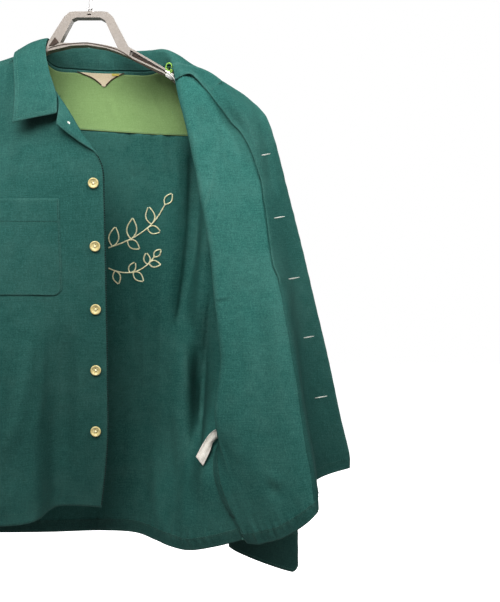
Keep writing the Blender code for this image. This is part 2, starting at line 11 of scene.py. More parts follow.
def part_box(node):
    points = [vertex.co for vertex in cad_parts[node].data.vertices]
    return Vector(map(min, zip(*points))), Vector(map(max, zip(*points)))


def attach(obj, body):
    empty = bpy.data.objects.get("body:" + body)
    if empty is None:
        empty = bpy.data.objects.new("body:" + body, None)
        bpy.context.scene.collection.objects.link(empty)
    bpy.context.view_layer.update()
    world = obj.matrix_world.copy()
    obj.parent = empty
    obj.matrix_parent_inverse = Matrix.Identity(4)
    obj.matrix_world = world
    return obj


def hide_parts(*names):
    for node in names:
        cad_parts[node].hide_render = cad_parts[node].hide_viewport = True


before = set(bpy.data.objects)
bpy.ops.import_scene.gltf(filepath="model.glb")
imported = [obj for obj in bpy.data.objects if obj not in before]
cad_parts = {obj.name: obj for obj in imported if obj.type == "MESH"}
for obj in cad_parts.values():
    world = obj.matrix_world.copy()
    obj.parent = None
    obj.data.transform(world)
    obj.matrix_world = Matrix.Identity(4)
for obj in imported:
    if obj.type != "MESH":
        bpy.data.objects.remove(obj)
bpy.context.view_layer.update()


MM = 0.001
HALF = 0.55  # half of the body cloth's wall
LAYER = 0.45  # half of a facing's, lining's or pocket's wall
AIR = 0.22  # between a layer and the cloth it is sewn to
SEAM = 0.12  # each panel's share of the gap at a side seam
FOLD = 5.0  # how far the left front's fold is rounded on each side of its line
CUFF_TALL = 62.0
STEP = 3.3  # spacing of the points of a cloth surface
SAMPLES = 60  # to each stretch of a table row, when its length is measured
TINY = 1e-9

# the camera of the photograph
EYE = (235.8, -1100.0, -488.4)
PIXEL = 1.48  # millimetres to a pixel at the origin's depth
MIDDLE = (250.0, 301.0)  # the image's middle, in pixels
IMAGE_TALL = 602
SENSOR = 36


def seen(points):
    """Where points lie in the photograph's frame, in pixels."""
    s = PIXEL * (1 + points[..., 1] / -EYE[1])
    across = MIDDLE[0] + (points[..., 0] - EYE[0]) / s
    return np.stack([across, MIDDLE[1] - (points[..., 2] - EYE[2]) / s], axis=-1)


def behind(pixels, y):
    """The points at depths y that are seen at the given pixels."""
    s = PIXEL * (1 + y / -EYE[1])
    across, down = pixels[..., 0] - MIDDLE[0], pixels[..., 1] - MIDDLE[1]
    return np.stack([EYE[0] + across * s, y, EYE[2] - down * s], axis=-1)


# ---------------------------------------------------------------- curves and surfaces
def smooth(points, at):
    """Centripetal Catmull-Rom curve through the points, read at fractional indices."""
    p = np.asarray(points, float)
    step = np.maximum(np.linalg.norm(np.diff(p, axis=0), axis=1) ** 0.5, 1e-6)
    slope = np.diff(p, axis=0) / step[:, None]
    tangent = np.empty_like(p)
    near, far = step[:-1, None], step[1:, None]
    tangent[1:-1] = (slope[:-1] * far + slope[1:] * near) / (near + far)
    tangent[0] = 1.5 * slope[0] - 0.5 * tangent[1] if len(p) > 2 else slope[0]
    tangent[-1] = 1.5 * slope[-1] - 0.5 * tangent[-2] if len(p) > 2 else slope[-1]
    at = np.asarray(at, float)
    i = np.clip(np.floor(at).astype(int), 0, len(p) - 2)
    f = (at - i)[:, None]
    h = step[i][:, None]
    return (
        (2 * f**3 - 3 * f**2 + 1) * p[i]
        + (f**3 - 2 * f**2 + f) * h * tangent[i]
        + (3 * f**2 - 2 * f**3) * p[i + 1]
        + (f**3 - f**2) * h * tangent[i + 1]
    )


def even(points, step=STEP, turning=9.0):
    """Fractional indices about a step apart along a row, closer where the row turns."""
    p = np.asarray(points, float)
    fine = np.linspace(0, len(p) - 1, SAMPLES * (len(p) - 1) + 2)
    q = smooth(p, fine)
    d = np.diff(q, axis=0)
    size = np.linalg.norm(d, axis=1)
    ways = d / np.maximum(size, TINY)[:, None]
    bend = np.arccos(np.clip((ways[1:] * ways[:-1]).sum(axis=1), -1, 1))
    size[1:] += turning * bend
    run = np.concatenate([[0], np.cumsum(size)])
    return np.interp(np.linspace(0, run[-1], max(3, int(run[-1] / step) + 1)), run, fine)


def net_grid(net, us, vs):
    """A smooth surface through a net of points, read at fractional columns us and rows vs."""
    net = np.asarray(net, float)
    across = np.stack([smooth(row, us) for row in net])
    return np.stack([smooth(across[:, j], vs) for j in range(across.shape[1])], axis=1)


def normals(grid, closed=False):
    """Unit normals of a grid of points, which is a tube where it is closed."""
    if closed:
        du = np.roll(grid, -1, axis=1) - np.roll(grid, 1, axis=1)
    else:
        du = np.gradient(grid, axis=1)
    n = np.cross(du, np.gradient(grid, axis=0))
    return n / np.maximum(np.linalg.norm(n, axis=2, keepdims=True), TINY)


def at_height(table, z, column):
    """One column of a table whose first column is a falling height, read at height z."""
    rows = np.asarray(table, float)
    at = np.interp(-z, -rows[:, 0], np.arange(len(rows)))
    return smooth(rows, np.atleast_1d(at))[0, column]


def ease(x):
    """A soft step from 0 to 1."""
    x = np.clip(x, 0, 1)
    return x * x * (3 - 2 * x)


def lengths(grid, axis):
    """Distance run along one direction of a grid, from its start."""
    d = np.linalg.norm(np.diff(grid, axis=axis), axis=2)
    run = np.cumsum(d, axis=axis)
    pad = [(0, 0), (0, 0)]
    pad[axis] = (1, 0)
    return np.pad(run, pad)


def rough(points, size, seed):
    """Soft uneven numbers over a surface, about -1 to 1."""
    places = (Vector((x + seed * 7.3, y - seed * 3.1, z)) for x, y, z in points.reshape(-1, 3) / size)
    return np.array([noise.fractal(place, 0.9, 2.0, 3) for place in places]).reshape(points.shape[:2])


def unit(vectors):
    """The same ways, at length 1."""
    return vectors / np.linalg.norm(vectors, axis=-1, keepdims=True)


def run_of(line):
    """Distance run along a line of points."""
    return np.concatenate([[0], np.cumsum(np.linalg.norm(np.diff(line, axis=0), axis=1))])


def read_at(distances, run, values):
    """Values known at the points of a line, read at distances along it."""
    return np.stack([np.interp(distances, run, values[:, k]) for k in range(3)], axis=-1)


class Panel:
    """A cloth surface: points, the side that counts as out, and distances from its four edges."""

    def __init__(self, grid, out=None, closed=False):
        self.grid, self.closed = grid, closed
        self.n = normals(grid, closed)
        if out is not None:
            i, j, axis, sign = out
            if self.n[i, j, axis] * sign < 0:
                self.n = -self.n
        self.measure()

    def faced(self, way):
        """Turns the out side to the side that the given vectors point to."""
        if (self.n * way).sum() < 0:
            self.n = -self.n
        return self

    def measure(self):
        """Takes every point's distance from the four edges."""
        u, v = lengths(self.grid, 1), lengths(self.grid, 0)
        self.left, self.right = u, u[:, -1:] - u
        self.top, self.bottom = v, v[-1:] - v

    def move(self, amount):
        """Moves the surface along its normals, then takes new normals."""
        self.grid = self.grid + self.n * amount[..., None]
        fresh = normals(self.grid, self.closed)
        flip = np.sign((fresh * self.n).sum(axis=2, keepdims=True))
        self.n = fresh * np.where(flip == 0, 1, flip)

    def creases(self, rows, where=None):
        """Soft troughs (below zero) and ridges: depth mm, half width px, lean, fade, path in px."""
        flat = seen(self.grid)
        move = np.zeros(flat.shape[:2])
        for depth, width, lean, fade, path in rows:
            path = np.asarray(path, float)
            reach = 4.2 * width * (1 + abs(lean))
            low, high = path.min(axis=0) - reach, path.max(axis=0) + reach
            inside = ((flat > low) & (flat < high)).all(axis=2)
            if where is not None:
                inside &= where
            if not inside.any():
                continue
            line = smooth(path, np.linspace(0, len(path) - 1, 14 * len(path)))
            p = flat[inside]
            gap = np.linalg.norm(p[:, None] - line[None], axis=2)
            k = gap.argmin(axis=1)
            along = np.gradient(line, axis=0)[k]
            off = p - line[k]
            side = np.sign(along[:, 0] * off[:, 1] - along[:, 1] * off[:, 0])
            d = gap[np.arange(len(k)), k] / (width * (1 + lean * side))
            share = k / (len(line) - 1)
            ends = ease(share / fade) * ease((1 - share) / fade) if fade else 1.0
            move[inside] += depth * ends * np.exp(-(d**2))
        self.move(move)

    def pucker(self, away, along, amount, pitch, reach, seed=0.0):
        """The small waves that a row of stitches draws into cloth beside it."""
        a = along + 3 * np.sin(along / 37 + seed)
        wave = np.sin(2 * math.pi * a / pitch + seed)
        wave = wave + 0.6 * np.sin(2 * math.pi * a / (pitch * 1.618) + 2 * seed + 1)
        self.move(amount * wave * np.exp(-((away / reach) ** 2)))

    def uneven(self, size, amount, seed, hold=18.0):
        """Slight unevenness all over, fading where the piece is sewn."""
        edge = np.minimum(np.minimum(self.top, self.bottom), np.minimum(self.left, self.right))
        self.move(amount * rough(self.grid, size, seed) * (0.35 + 0.65 * ease(edge / hold)))

    def at(self, i, j, lift=0.0):
        """Points between the grid's points, lifted along the normal."""
        i, j = np.broadcast_arrays(np.asarray(i, float), np.asarray(j, float))
        rows, cols = self.grid.shape[:2]
        i0 = np.clip(np.floor(i).astype(int), 0, rows - 2)
        j0 = np.clip(np.floor(j).astype(int), 0, cols - 2)
        a, b = (i - i0)[..., None], (j - j0)[..., None]

        def mix(g):
            upper = g[i0, j0] * (1 - b) + g[i0, j0 + 1] * b
            lower = g[i0 + 1, j0] * (1 - b) + g[i0 + 1, j0 + 1] * b
            return upper * (1 - a) + lower * a

        n = unit(mix(self.n))
        return mix(self.grid) + n * lift, n

    def crossing(self, edge, line, distance):
        """Fractional place on a row or column where it comes to a distance from one edge."""
        away = getattr(self, edge)
        away = away[:, line] if edge in ("top", "bottom") else away[line]
        order = slice(None, None, 1 if edge in ("top", "left") else -1)
        return np.interp(distance, away[order], np.arange(len(away))[order])

    def inset(self, edge, distance, lift, start=0.0, end=1.0):
        """A line that keeps a distance from one edge."""
        upright = edge in ("top", "bottom")
        last = self.grid.shape[1 if upright else 0] - 1
        lines = np.arange(int(start * last), int(end * last) + 1)
        found = np.array([self.crossing(edge, k, distance) for k in lines])
        return self.at(*((found, lines) if upright else (lines, found)), lift)

    def under(self, pixels, mask=None):
        """Fractional grid places that are seen at given pixels, kept to a mask where layers overlap."""
        flat = seen(self.grid)
        far = 0 if mask is None else np.where(mask, 0, 1e6)
        rows, cols = flat.shape[:2]
        found = []
        for p in np.asarray(pixels, float):
            i, j = np.unravel_index((np.linalg.norm(flat - p, axis=2) + far).argmin(), (rows, cols))
            i, j = np.clip(i, 1, rows - 2), np.clip(j, 1, cols - 2)
            steps = np.stack([flat[i + 1, j] - flat[i - 1, j], flat[i, j + 1] - flat[i, j - 1]], axis=1) / 2
            found.append((i, j) + np.clip(np.linalg.solve(steps, p - flat[i, j]), -1, 1))
        return np.array(found).T


# ---------------------------------------------------------------- materials
class Val:
    """One output of a shader node, which can be used in sums."""

    def __init__(self, tree, socket):
        self.tree, self.socket = tree, socket

    def sum(self, operation, a, b=None):
        m = self.tree.nodes.new("ShaderNodeMath")
        m.operation = operation
        for slot, value in enumerate((a, b)):
            if isinstance(value, Val):
                self.tree.links.new(value.socket, m.inputs[slot])
            elif value is not None:
                m.inputs[slot].default_value = value
        return Val(self.tree, m.outputs[0])

    def sin(self):
        return self.sum("SINE", self)

    def least(self, other):
        return self.sum("MINIMUM", self, other)


for word, operation in (("add", "ADD"), ("sub", "SUBTRACT"), ("mul", "MULTIPLY")):
    setattr(Val, "__%s__" % word, lambda a, b, kind=operation: a.sum(kind, a, b))
    setattr(Val, "__r%s__" % word, lambda a, b, kind=operation: a.sum(kind, b, a))


class Finish:
    """A material whose look is worked out by nodes."""

    def __init__(self, name, color, roughness, **fixed):
        self.mat = bpy.data.materials.new(name)
        self.mat.use_nodes = True
        self.tree = self.mat.node_tree
        self.shader = self.tree.nodes["Principled BSDF"]
        self.shader.inputs["Base Color"].default_value = (*color, 1)
        self.shader.inputs["Roughness"].default_value = roughness
        for socket, value in fixed.items():
            self.shader.inputs[socket.replace("_", " ")].default_value = value
        self.mat.diffuse_color = (*color, 1)

    def node(self, kind, settings=(), out=0, **values):
        n = self.tree.nodes.new("ShaderNode" + kind)
        for key, value in dict(settings).items():
            setattr(n, key, value)
        for key, value in values.items():  # i0, i1 ... are sockets by number, the others by name
            numbered = key[0] == "i" and key[1:].isdigit()
            socket = n.inputs[int(key[1:]) if numbered else key.replace("_", " ")]
            if isinstance(value, Val):
                self.tree.links.new(value.socket, socket)
            else:
                socket.default_value = value
        return Val(self.tree, n.outputs[out])

    def cloth_place(self):
        """Place on the cloth, in metres along and across its threads."""
        uv = self.node("UVMap", {"uv_map": "threads"})
        sep = self.tree.nodes.new("ShaderNodeSeparateXYZ")
        self.tree.links.new(uv.socket, sep.inputs[0])
        return uv, Val(self.tree, sep.outputs[0]), Val(self.tree, sep.outputs[1])

    def place(self):
        """Place in the piece's own frame, in metres."""
        return self.node("TexCoord", out=3)

    def noise(self, vector, scale, detail=2.0, rough=0.55, **more):
        return self.node("TexNoise", Vector=vector, Scale=scale, Detail=detail, Roughness=rough, **more)

    def ramp(self, value, low, high, to_low=0.0, to_high=1.0):
        return self.node("MapRange", {"interpolation_type": "SMOOTHSTEP"}, Value=value,
                         From_Min=low, From_Max=high, To_Min=to_low, To_Max=to_high)

    def blend(self, share, a, b, kind="MIX"):
        m = self.tree.nodes.new("ShaderNodeMix")
        m.data_type, m.blend_type = "RGBA", kind
        for slot, value in ((0, share), (6, a), (7, b)):
            if isinstance(value, Val):
                self.tree.links.new(value.socket, m.inputs[slot])
            else:
                m.inputs[slot].default_value = value if slot == 0 else (*value, 1)
        return Val(self.tree, m.outputs[2])

    def bump(self, height, strength, distance, under=None):
        values = dict(Height=height, Strength=strength, Distance=distance)
        if under is not None:
            values["Normal"] = under
        return self.node("Bump", **values)

    def feed(self, socket, value):
        self.tree.links.new(value.socket, self.shader.inputs[socket])

    def attribute(self, name):
        return self.node("Attribute", {"attribute_name": name, "attribute_type": "GEOMETRY"}, out=2)


HEM_HIGH, SHOULDER_HIGH = -0.78, -0.08  # heights in metres, between which the colour is painted paler upwards: painted light from above


def twill(name, dark, mid, light, pitch=0.0011, bump=0.35, roughness=0.88, worn=0.3, faded=0.14,
          painted_top_light=0.36, two_sided=0.3):
    """Cotton twill: diagonal ribs, uneven threads, slightly faded places, paler worn edges, and painted light
    that pales it towards the shoulders.

    Pitch is a rib's width in metres; worn, faded, the painted light from above and two_sided are how far each
    pales the cloth."""
    f = Finish(name, mid, roughness, Sheen_Weight=0.0, Specular_IOR_Level=0.12)
    uv, u, v = f.cloth_place()
    where = f.place()
    warp = f.noise(uv, 240.0, 2.0) - 0.5
    rib = ((u + v * 0.9 + warp * 0.0007) * (2 * math.pi / pitch)).sin() * 0.5 + 0.5
    cross = ((u - v * 0.62 + warp * 0.0004) * (2 * math.pi / (pitch * 0.62))).sin() * 0.5 + 0.5
    weave = rib * 0.7 + cross * 0.3
    slub = f.noise(f.node("Mapping", Vector=uv, Scale=(1000.0, 60.0, 1.0)), 1.0, 2.0)
    slub2 = f.noise(f.node("Mapping", Vector=uv, Scale=(45.0, 800.0, 1.0)), 1.0, 2.0)
    grain = f.noise(where, 560.0, 3.0, 0.7)
    cloud = f.noise(where, 7.0, 2.0, 0.5)
    patch = f.noise(where, 38.0, 3.0, 0.6)
    tone = grain * 0.56 + slub * 0.2 + slub2 * 0.24
    base = f.blend(f.ramp(tone, 0.37, 0.63), dark, mid)
    base = f.blend(f.ramp(tone, 0.55, 0.72) * 0.3, base, light)
    base = f.blend(f.ramp(cloud * 0.6 + patch * 0.4, 0.4, 0.64) * faded, base, light)
    base = f.blend(f.ramp(weave, 0.0, 1.0, 0.16, 0.0), base, dark)
    wear = f.attribute("wear")
    rub = (wear * f.ramp(patch * 0.4 + grain * 0.6, 0.3, 0.62)).least(1.0)
    base = f.blend(rub * worn, base, light)
    if painted_top_light:  # painted light: paler over the shoulders than at the hem; also paler on the wrong side
        high = f.ramp(f.node("SeparateXYZ", out=2, Vector=where), HEM_HIGH, SHOULDER_HIGH)
        pale = high * painted_top_light + f.attribute("wrong_side") * two_sided + (0.84 - painted_top_light / 2)
        base = f.node("VectorMath", {"operation": "SCALE"}, i0=base, Scale=pale)
    f.feed("Base Color", base)
    f.feed("Roughness", f.ramp(grain, 0.25, 0.75, roughness - 0.05, roughness + 0.06))
    fine = f.bump(weave + grain * 0.7, bump, 0.00028)
    f.feed("Normal", f.bump(patch + slub * 0.3, 0.12, 0.0012, fine))
    return f.mat


GREEN = twill("green_twill", (0.012, 0.068, 0.059), (0.031, 0.118, 0.102), (0.100, 0.205, 0.178))
LINING_CLOTH = twill("lining_cotton", (0.183, 0.287, 0.112), (0.228, 0.343, 0.144), (0.315, 0.427, 0.210),
                     pitch=0.0007, bump=0.22, worn=0.4, painted_top_light=0)


def thread(name, color, pale, twist=1400.0):
    """Spun sewing thread: fine twist and small changes of tone."""
    f = Finish(name, color, 0.75, Specular_IOR_Level=0.2)
    where = f.place()
    f.feed("Base Color", f.blend(f.ramp(f.noise(where, 600.0), 0.35, 0.68), color, pale))
    strands = f.node("TexWave", {"bands_direction": "DIAGONAL"}, out=1, Vector=where, Scale=twist,
                     Distortion=2.0)
    f.feed("Normal", f.bump(strands, 0.4, 0.0001))
    return f.mat


GREEN_THREAD = thread("green_thread", (0.035, 0.125, 0.098), (0.085, 0.215, 0.175))
CREAM_THREAD = thread("cream_thread", (0.74, 0.69, 0.43), (0.95, 0.92, 0.70))
WHITE_THREAD = thread("white_thread", (0.66, 0.64, 0.58), (0.90, 0.89, 0.84))
# near black: painted shadow, laid as stitches on the rim of the right front's opening edge
OPENING_SHADOW_THREAD = thread("opening_painted_shadow", (0.002, 0.012, 0.010), (0.005, 0.024, 0.021))
# darker than the cloth: real stitching thread, with the shade of the grooves it sinks into painted in
GROOVE_SHADE_THREAD = thread("green_thread_painted_groove_shade", (0.010, 0.045, 0.038), (0.030, 0.105, 0.088))
BROWN_THREAD = thread("brown_thread", (0.045, 0.030, 0.020), (0.13, 0.09, 0.06))
LABEL_COTTON = twill("label_cotton", (0.45, 0.34, 0.21), (0.58, 0.48, 0.33), (0.64, 0.58, 0.44), pitch=0.0005,
                     bump=0.18, worn=0.5, faded=0.6)
LABEL_SATIN = twill("label_satin", (0.50, 0.46, 0.40), (0.63, 0.60, 0.55), (0.73, 0.71, 0.68), pitch=0.0004,
                    bump=0.12, roughness=0.7, worn=0.2, faded=0.5)
YELLOW_TAB = twill("yellow_tab", (0.42, 0.33, 0.06), (0.66, 0.52, 0.10), (0.75, 0.66, 0.30), pitch=0.0006,
                   bump=0.15)


def moulded(name, color, marked, roughness, scale=180.0, bump=0.1, amount=0.5, **fixed):
    """Moulded plastic, horn or rough pad: soft clouds of a second tone, fine grain, uneven gloss."""
    f = Finish(name, color, roughness, **fixed)
    where = f.place()
    cloud = f.noise(where, scale, 4.0, 0.6)
    fine = f.noise(where, scale * 7, 2.0)
    f.feed("Base Color", f.blend(f.ramp(cloud * 0.75 + fine * 0.25, 0.38, 0.66) * amount, color, marked))
    f.feed("Roughness", f.ramp(cloud * 0.5 + fine * 0.5, 0.3, 0.7, roughness - 0.06, roughness + 0.09))
    f.feed("Normal", f.bump(fine * 0.6 + cloud, bump, 0.0004))
    return f.mat


BUTTON_HORN = moulded("button_horn", (0.42, 0.34, 0.13), (0.54, 0.48, 0.27), 0.36, 260.0, 0.05, 0.8,
                      Coat_Weight=0.2)
HANGER_PLASTIC = moulded("hanger_plastic", (0.172, 0.144, 0.12), (0.24, 0.208, 0.176), 0.42, 60.0, 0.06, 0.6)
# dark brown: the felt of the hanger's pad, and painted shade on the slabs in the arms' channels and along the
# curved bar's underside
GRIP_FELT_AND_SHADE = moulded("grip_felt_and_painted_shade", (0.030, 0.019, 0.014), (0.085, 0.058, 0.042), 0.92, 900.0, 0.8, 0.9)
CLIP_PLASTIC = moulded("clip_plastic", (0.72, 0.70, 0.66), (0.90, 0.89, 0.86), 0.35, 300.0, 0.08)
LIME_CORD = moulded("lime_cord", (0.22, 0.42, 0.05), (0.42, 0.62, 0.14), 0.6, 700.0, 0.4)
CHROME = moulded("chrome", (0.52, 0.51, 0.50), (0.70, 0.69, 0.68), 0.16, 90.0, 0.02, 0.6, Metallic=1.0)


# ---------------------------------------------------------------- pieces
RIM_BULGE = 0.42  # of the wall's thickness, past its edge
RIM_WEAR, EDGE_WEAR, FOLD_WEAR = 0.25, 0.75, 0.55


def placed(name, data):
    """A new object in the scene."""
    obj = bpy.data.objects.new(name, data)
    bpy.context.scene.collection.objects.link(obj)
    return obj


def finished(mesh, finish):
    """The mesh with its material, smooth."""
    mesh.materials.append(finish)
    mesh.shade_smooth()
    return mesh


def point_values(mesh, name, values):
    """One number at each point, which the materials read."""
    mesh.attributes.new(name, "FLOAT", "POINT").data.foreach_set("value", values)


def rim_loops(g, index, closed):
    """The edges of a grid: the indices of their points, the way out at each, and which way they run."""
    if closed:
        first, last = g[0] - g[1], g[-1] - g[-2]
        return [(index[0], np.concatenate([first, first[:1]]), 1),
                (index[-1], np.concatenate([last, last[:1]]), -1)]
    loop = np.concatenate([index[0, :-1], index[:-1, -1], index[-1, :0:-1], index[:0:-1, 0], index[0, :1]])
    out = np.zeros_like(g)
    every = slice(None)
    for at, back in (((0, every), (1, every)), ((-1, every), (-2, every)),
                     ((every, 0), (every, 1)), ((every, -1), (every, -2))):
        away = g[at] - g[back]
        out[at] += away / np.maximum(np.linalg.norm(away, axis=1, keepdims=True), TINY)
    return [(loop, out.reshape(-1, 3)[loop], 1)]


def shell(name, panel, half, finish, replaces, low=None, high=None, wear=None, doubled=False):
    """A cloth wall with round edges, from half below a surface to half above it, or from low to high."""
    g, n, closed = panel.grid, panel.n, panel.closed
    low, high = (-half if low is None else low), (half if high is None else high)
    rows, cols = g.shape[:2]
    count = rows * cols
    turned = 1 if (normals(g, closed) * n).sum() > 0 else -1
    top, under = ((g + n * np.asarray(side)[..., None]).reshape(-1, 3) for side in (high, low))
    wear = (edge_wear(panel) if wear is None else wear).reshape(-1)
    u, v = np.broadcast_arrays(panel.left.mean(axis=0)[None], panel.top.mean(axis=1)[:, None])
    uv = np.stack([u.reshape(-1), v.reshape(-1)], axis=1) * MM
    index = np.arange(count).reshape(rows, cols)
    if closed:
        index = np.concatenate([index, index[:, :1]], axis=1)
    quad = np.stack([index[:-1, :-1], index[:-1, 1:], index[1:, 1:], index[1:, :-1]], axis=-1).reshape(-1, 4)
    upper, lower = (quad, quad[:, ::-1])[::turned]
    faces, verts, wears, places = [upper, lower + count], [top, under], [wear, wear], [uv, uv]
    # the rim: a line pushed out past each edge, joined to both faces
    start = 2 * count
    for ids, out, way in rim_loops(g, index, closed):
        out = out / np.maximum(np.linalg.norm(out, axis=1, keepdims=True), TINY)
        thick = np.linalg.norm(top[ids] - under[ids], axis=1, keepdims=True)
        middle = (top[ids] + under[ids]) / 2 + out * thick * RIM_BULGE
        m = len(ids) - 1
        verts.append(middle[:m])
        wears.append(np.minimum(wear[ids[:m]] + RIM_WEAR, 1))
        places.append(uv[ids[:m]])
        i, k, mid = ids[:-1], ids[1:], start + np.arange(m)
        nxt = np.roll(mid, -1)
        for four in ((k, i, mid, nxt), (nxt, mid, i + count, k + count)):
            faces.append(np.stack(four, axis=-1)[:, ::turned * way])
        start += m
    verts = np.concatenate(verts) * MM
    mesh = bpy.data.meshes.new(name)
    mesh.from_pydata(verts.tolist(), [], np.concatenate(faces).tolist())
    obj = placed(name, finished(mesh, finish))
    corner = np.empty(len(mesh.loops), np.int32)
    mesh.loops.foreach_get("vertex_index", corner)
    threads = np.concatenate(places)[corner].astype(np.float32).ravel()
    mesh.uv_layers.new(name="threads").data.foreach_set("uv", threads)
    point_values(mesh, "wear", np.concatenate(wears).astype(np.float32))
    # the paler wrong side of the cloth, which a doubled piece hides between its layers
    wrong = np.full(len(verts), 0.0 if doubled else 0.5, np.float32)
    wrong[:count], wrong[count:2 * count] = 0.0, (0.0 if doubled else 1.0)
    point_values(mesh, "wrong_side", wrong)
    return settle(obj, replaces)


def settle(obj, replaces=()):
    """Puts a piece in the garment's one body and the CAD nodes that it stands for."""
    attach(obj, "root")
    if replaces:
        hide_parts(*([replaces] if isinstance(replaces, str) else replaces))
    return obj


def edge_wear(panel, reach=3.0):
    """How rubbed the cloth is: most at its edges and on its folds."""
    edge = np.minimum(panel.top, panel.bottom)
    if not panel.closed:
        edge = np.minimum(edge, np.minimum(panel.left, panel.right))
    return np.clip(EDGE_WEAR * np.exp(-edge / reach) + FOLD_WEAR * curvature(panel), 0, 1)


def curvature(panel):
    """High where the cloth is bent outwards on a fold, which rubs paler."""
    g = panel.grid
    out = np.zeros(g.shape[:2])
    for axis in (0, 1):
        slope = np.gradient(g, axis=axis)
        d2, step = np.gradient(slope, axis=axis), np.linalg.norm(slope, axis=2)
        out += np.abs((d2 * panel.n).sum(axis=2)) / np.maximum(step**2, 1e-6)
    return np.clip(out * 7.0 - 0.25, 0, 1)


STITCH_SHARES = np.array([0.0, 0.18, 0.5, 0.82, 1.0])  # the five points along a stitch
STITCH_WIDE = np.array([0.35, 0.95, 1.0, 0.95, 0.35])  # its thickness at each, of its full one
STITCH_RISE = np.array([-0.6, 0.55, 0.8, 0.55, -0.6])  # its height in a row, in radii
LAID_RISE = np.array([-0.5, 0.3, 0.5, 0.3, -0.5])
STITCH_SIDES, STITCH_FLAT = 5, 0.8
STITCH_SINK = 0.1  # of the radius, into the cloth


class Stitching:
    """Rows of stitches gathered into one mesh."""

    def __init__(self):
        self.verts, self.faces, self.count = [], [], 0

    def row(self, points, ns, length=2.6, gap=0.8, radius=0.3):
        """Stitches one after another along a line."""
        p = np.asarray(points, float)
        run = run_of(p)
        if run[-1] < length:
            return
        starts = np.arange(0.4, run[-1] - length, length + gap)
        at = starts[:, None] + STITCH_SHARES[None] * length
        up = unit(read_at(at, run, ns))
        lift = STITCH_RISE * radius
        self.tubes(read_at(at, run, p) + up * (lift[None, :, None] - STITCH_SINK * radius), up, radius)

    def lay(self, a, b, ups, radius, bow=0.5):
        """Single stitches from points a to points b, bowed up in the middle."""
        share = STITCH_SHARES[None, :, None]
        up = np.broadcast_to(np.asarray(ups)[:, None], (len(a), 5, 3))
        straight = np.asarray(a)[:, None] * (1 - share) + np.asarray(b)[:, None] * share
        self.tubes(straight + up * (LAID_RISE[None, :, None] * bow), up, radius)

    def tubes(self, mids, up, radius):
        """Round threads along rows of five points, thinner at their ends."""
        along = unit(mids[:, -1] - mids[:, 0])
        side = np.cross(np.broadcast_to(along[:, None], up.shape), up)
        wide = (STITCH_WIDE * radius)[None, :, None, None]
        ring = (2 * math.pi * np.arange(STITCH_SIDES) / STITCH_SIDES)[None, None, :, None]
        v = (mids[:, :, None] + side[:, :, None] * (np.cos(ring) * wide)
             + up[:, :, None] * (np.sin(ring) * wide * STITCH_FLAT))
        k = np.arange(STITCH_SIDES)
        nxt = (k + 1) % STITCH_SIDES
        ringed = np.stack([k, nxt, STITCH_SIDES + nxt, STITCH_SIDES + k], axis=-1)
        walls = (ringed[None] + STITCH_SIDES * np.arange(4)[:, None, None]).reshape(-1, 4)
        for base in self.count + 5 * STITCH_SIDES * np.arange(len(mids)):
            self.faces += (walls + base).tolist()
            self.faces += [(base + k[::-1]).tolist(), (base + 4 * STITCH_SIDES + k).tolist()]
        self.verts.append(v.reshape(-1, 3))
        self.count += 5 * STITCH_SIDES * len(mids)

    def made(self, name, finish, slot=None):
        """The rows so far as one piece."""
        mesh = bpy.data.meshes.new(name)
        mesh.from_pydata((np.concatenate(self.verts) * MM).tolist(), [], self.faces)
        b = bmesh.new()
        b.from_mesh(mesh)
        bmesh.ops.recalc_face_normals(b, faces=b.faces)
        b.to_mesh(mesh)
        b.free()
        return settle(placed(name, finished(mesh, finish)))


# ---------------------------------------------------------------- side seams and armholes
# z, x, y of the front's edge, y of the back's edge; open (an armhole) until the two y agree
SIDE_RIGHT = (
    (-196, -245, -12, 34),
    (-250, -249, -9, 36),
    (-300, -251, -6, 36),
    (-400, -248, 0, 34),
    (-460, -242, 5, 26),
    (-495, -238, 10, 14),
    (-590, -246, 9, 9),
    (-690, -257, 7, 7),
    (-815, -269, 6, 6),
)
SIDE_LEFT = (
    (-226, 237, -8, 34),
    (-260, 240, 1, 38),
    (-300, 241, 8, 40),
    (-400, 241, 14, 40),
    (-470, 240, 18, 34),
    (-505, 238, 22, 26),
    (-590, 222, 15, 15),
    (-656, 207, 1, 1),
    (-728, 184, -37, -37),
    (-790, 211, -38, -38),
    (-829, 228, -36, -36),
)


def side_point(table, z, column):
    """A side seam's place at height z, on the front's edge (column 2) or the back's (3)."""
    x = at_height(table, z, 1)
    y = at_height(table, z, column)
    return (x, y - SEAM if column == 2 else y + SEAM, z)


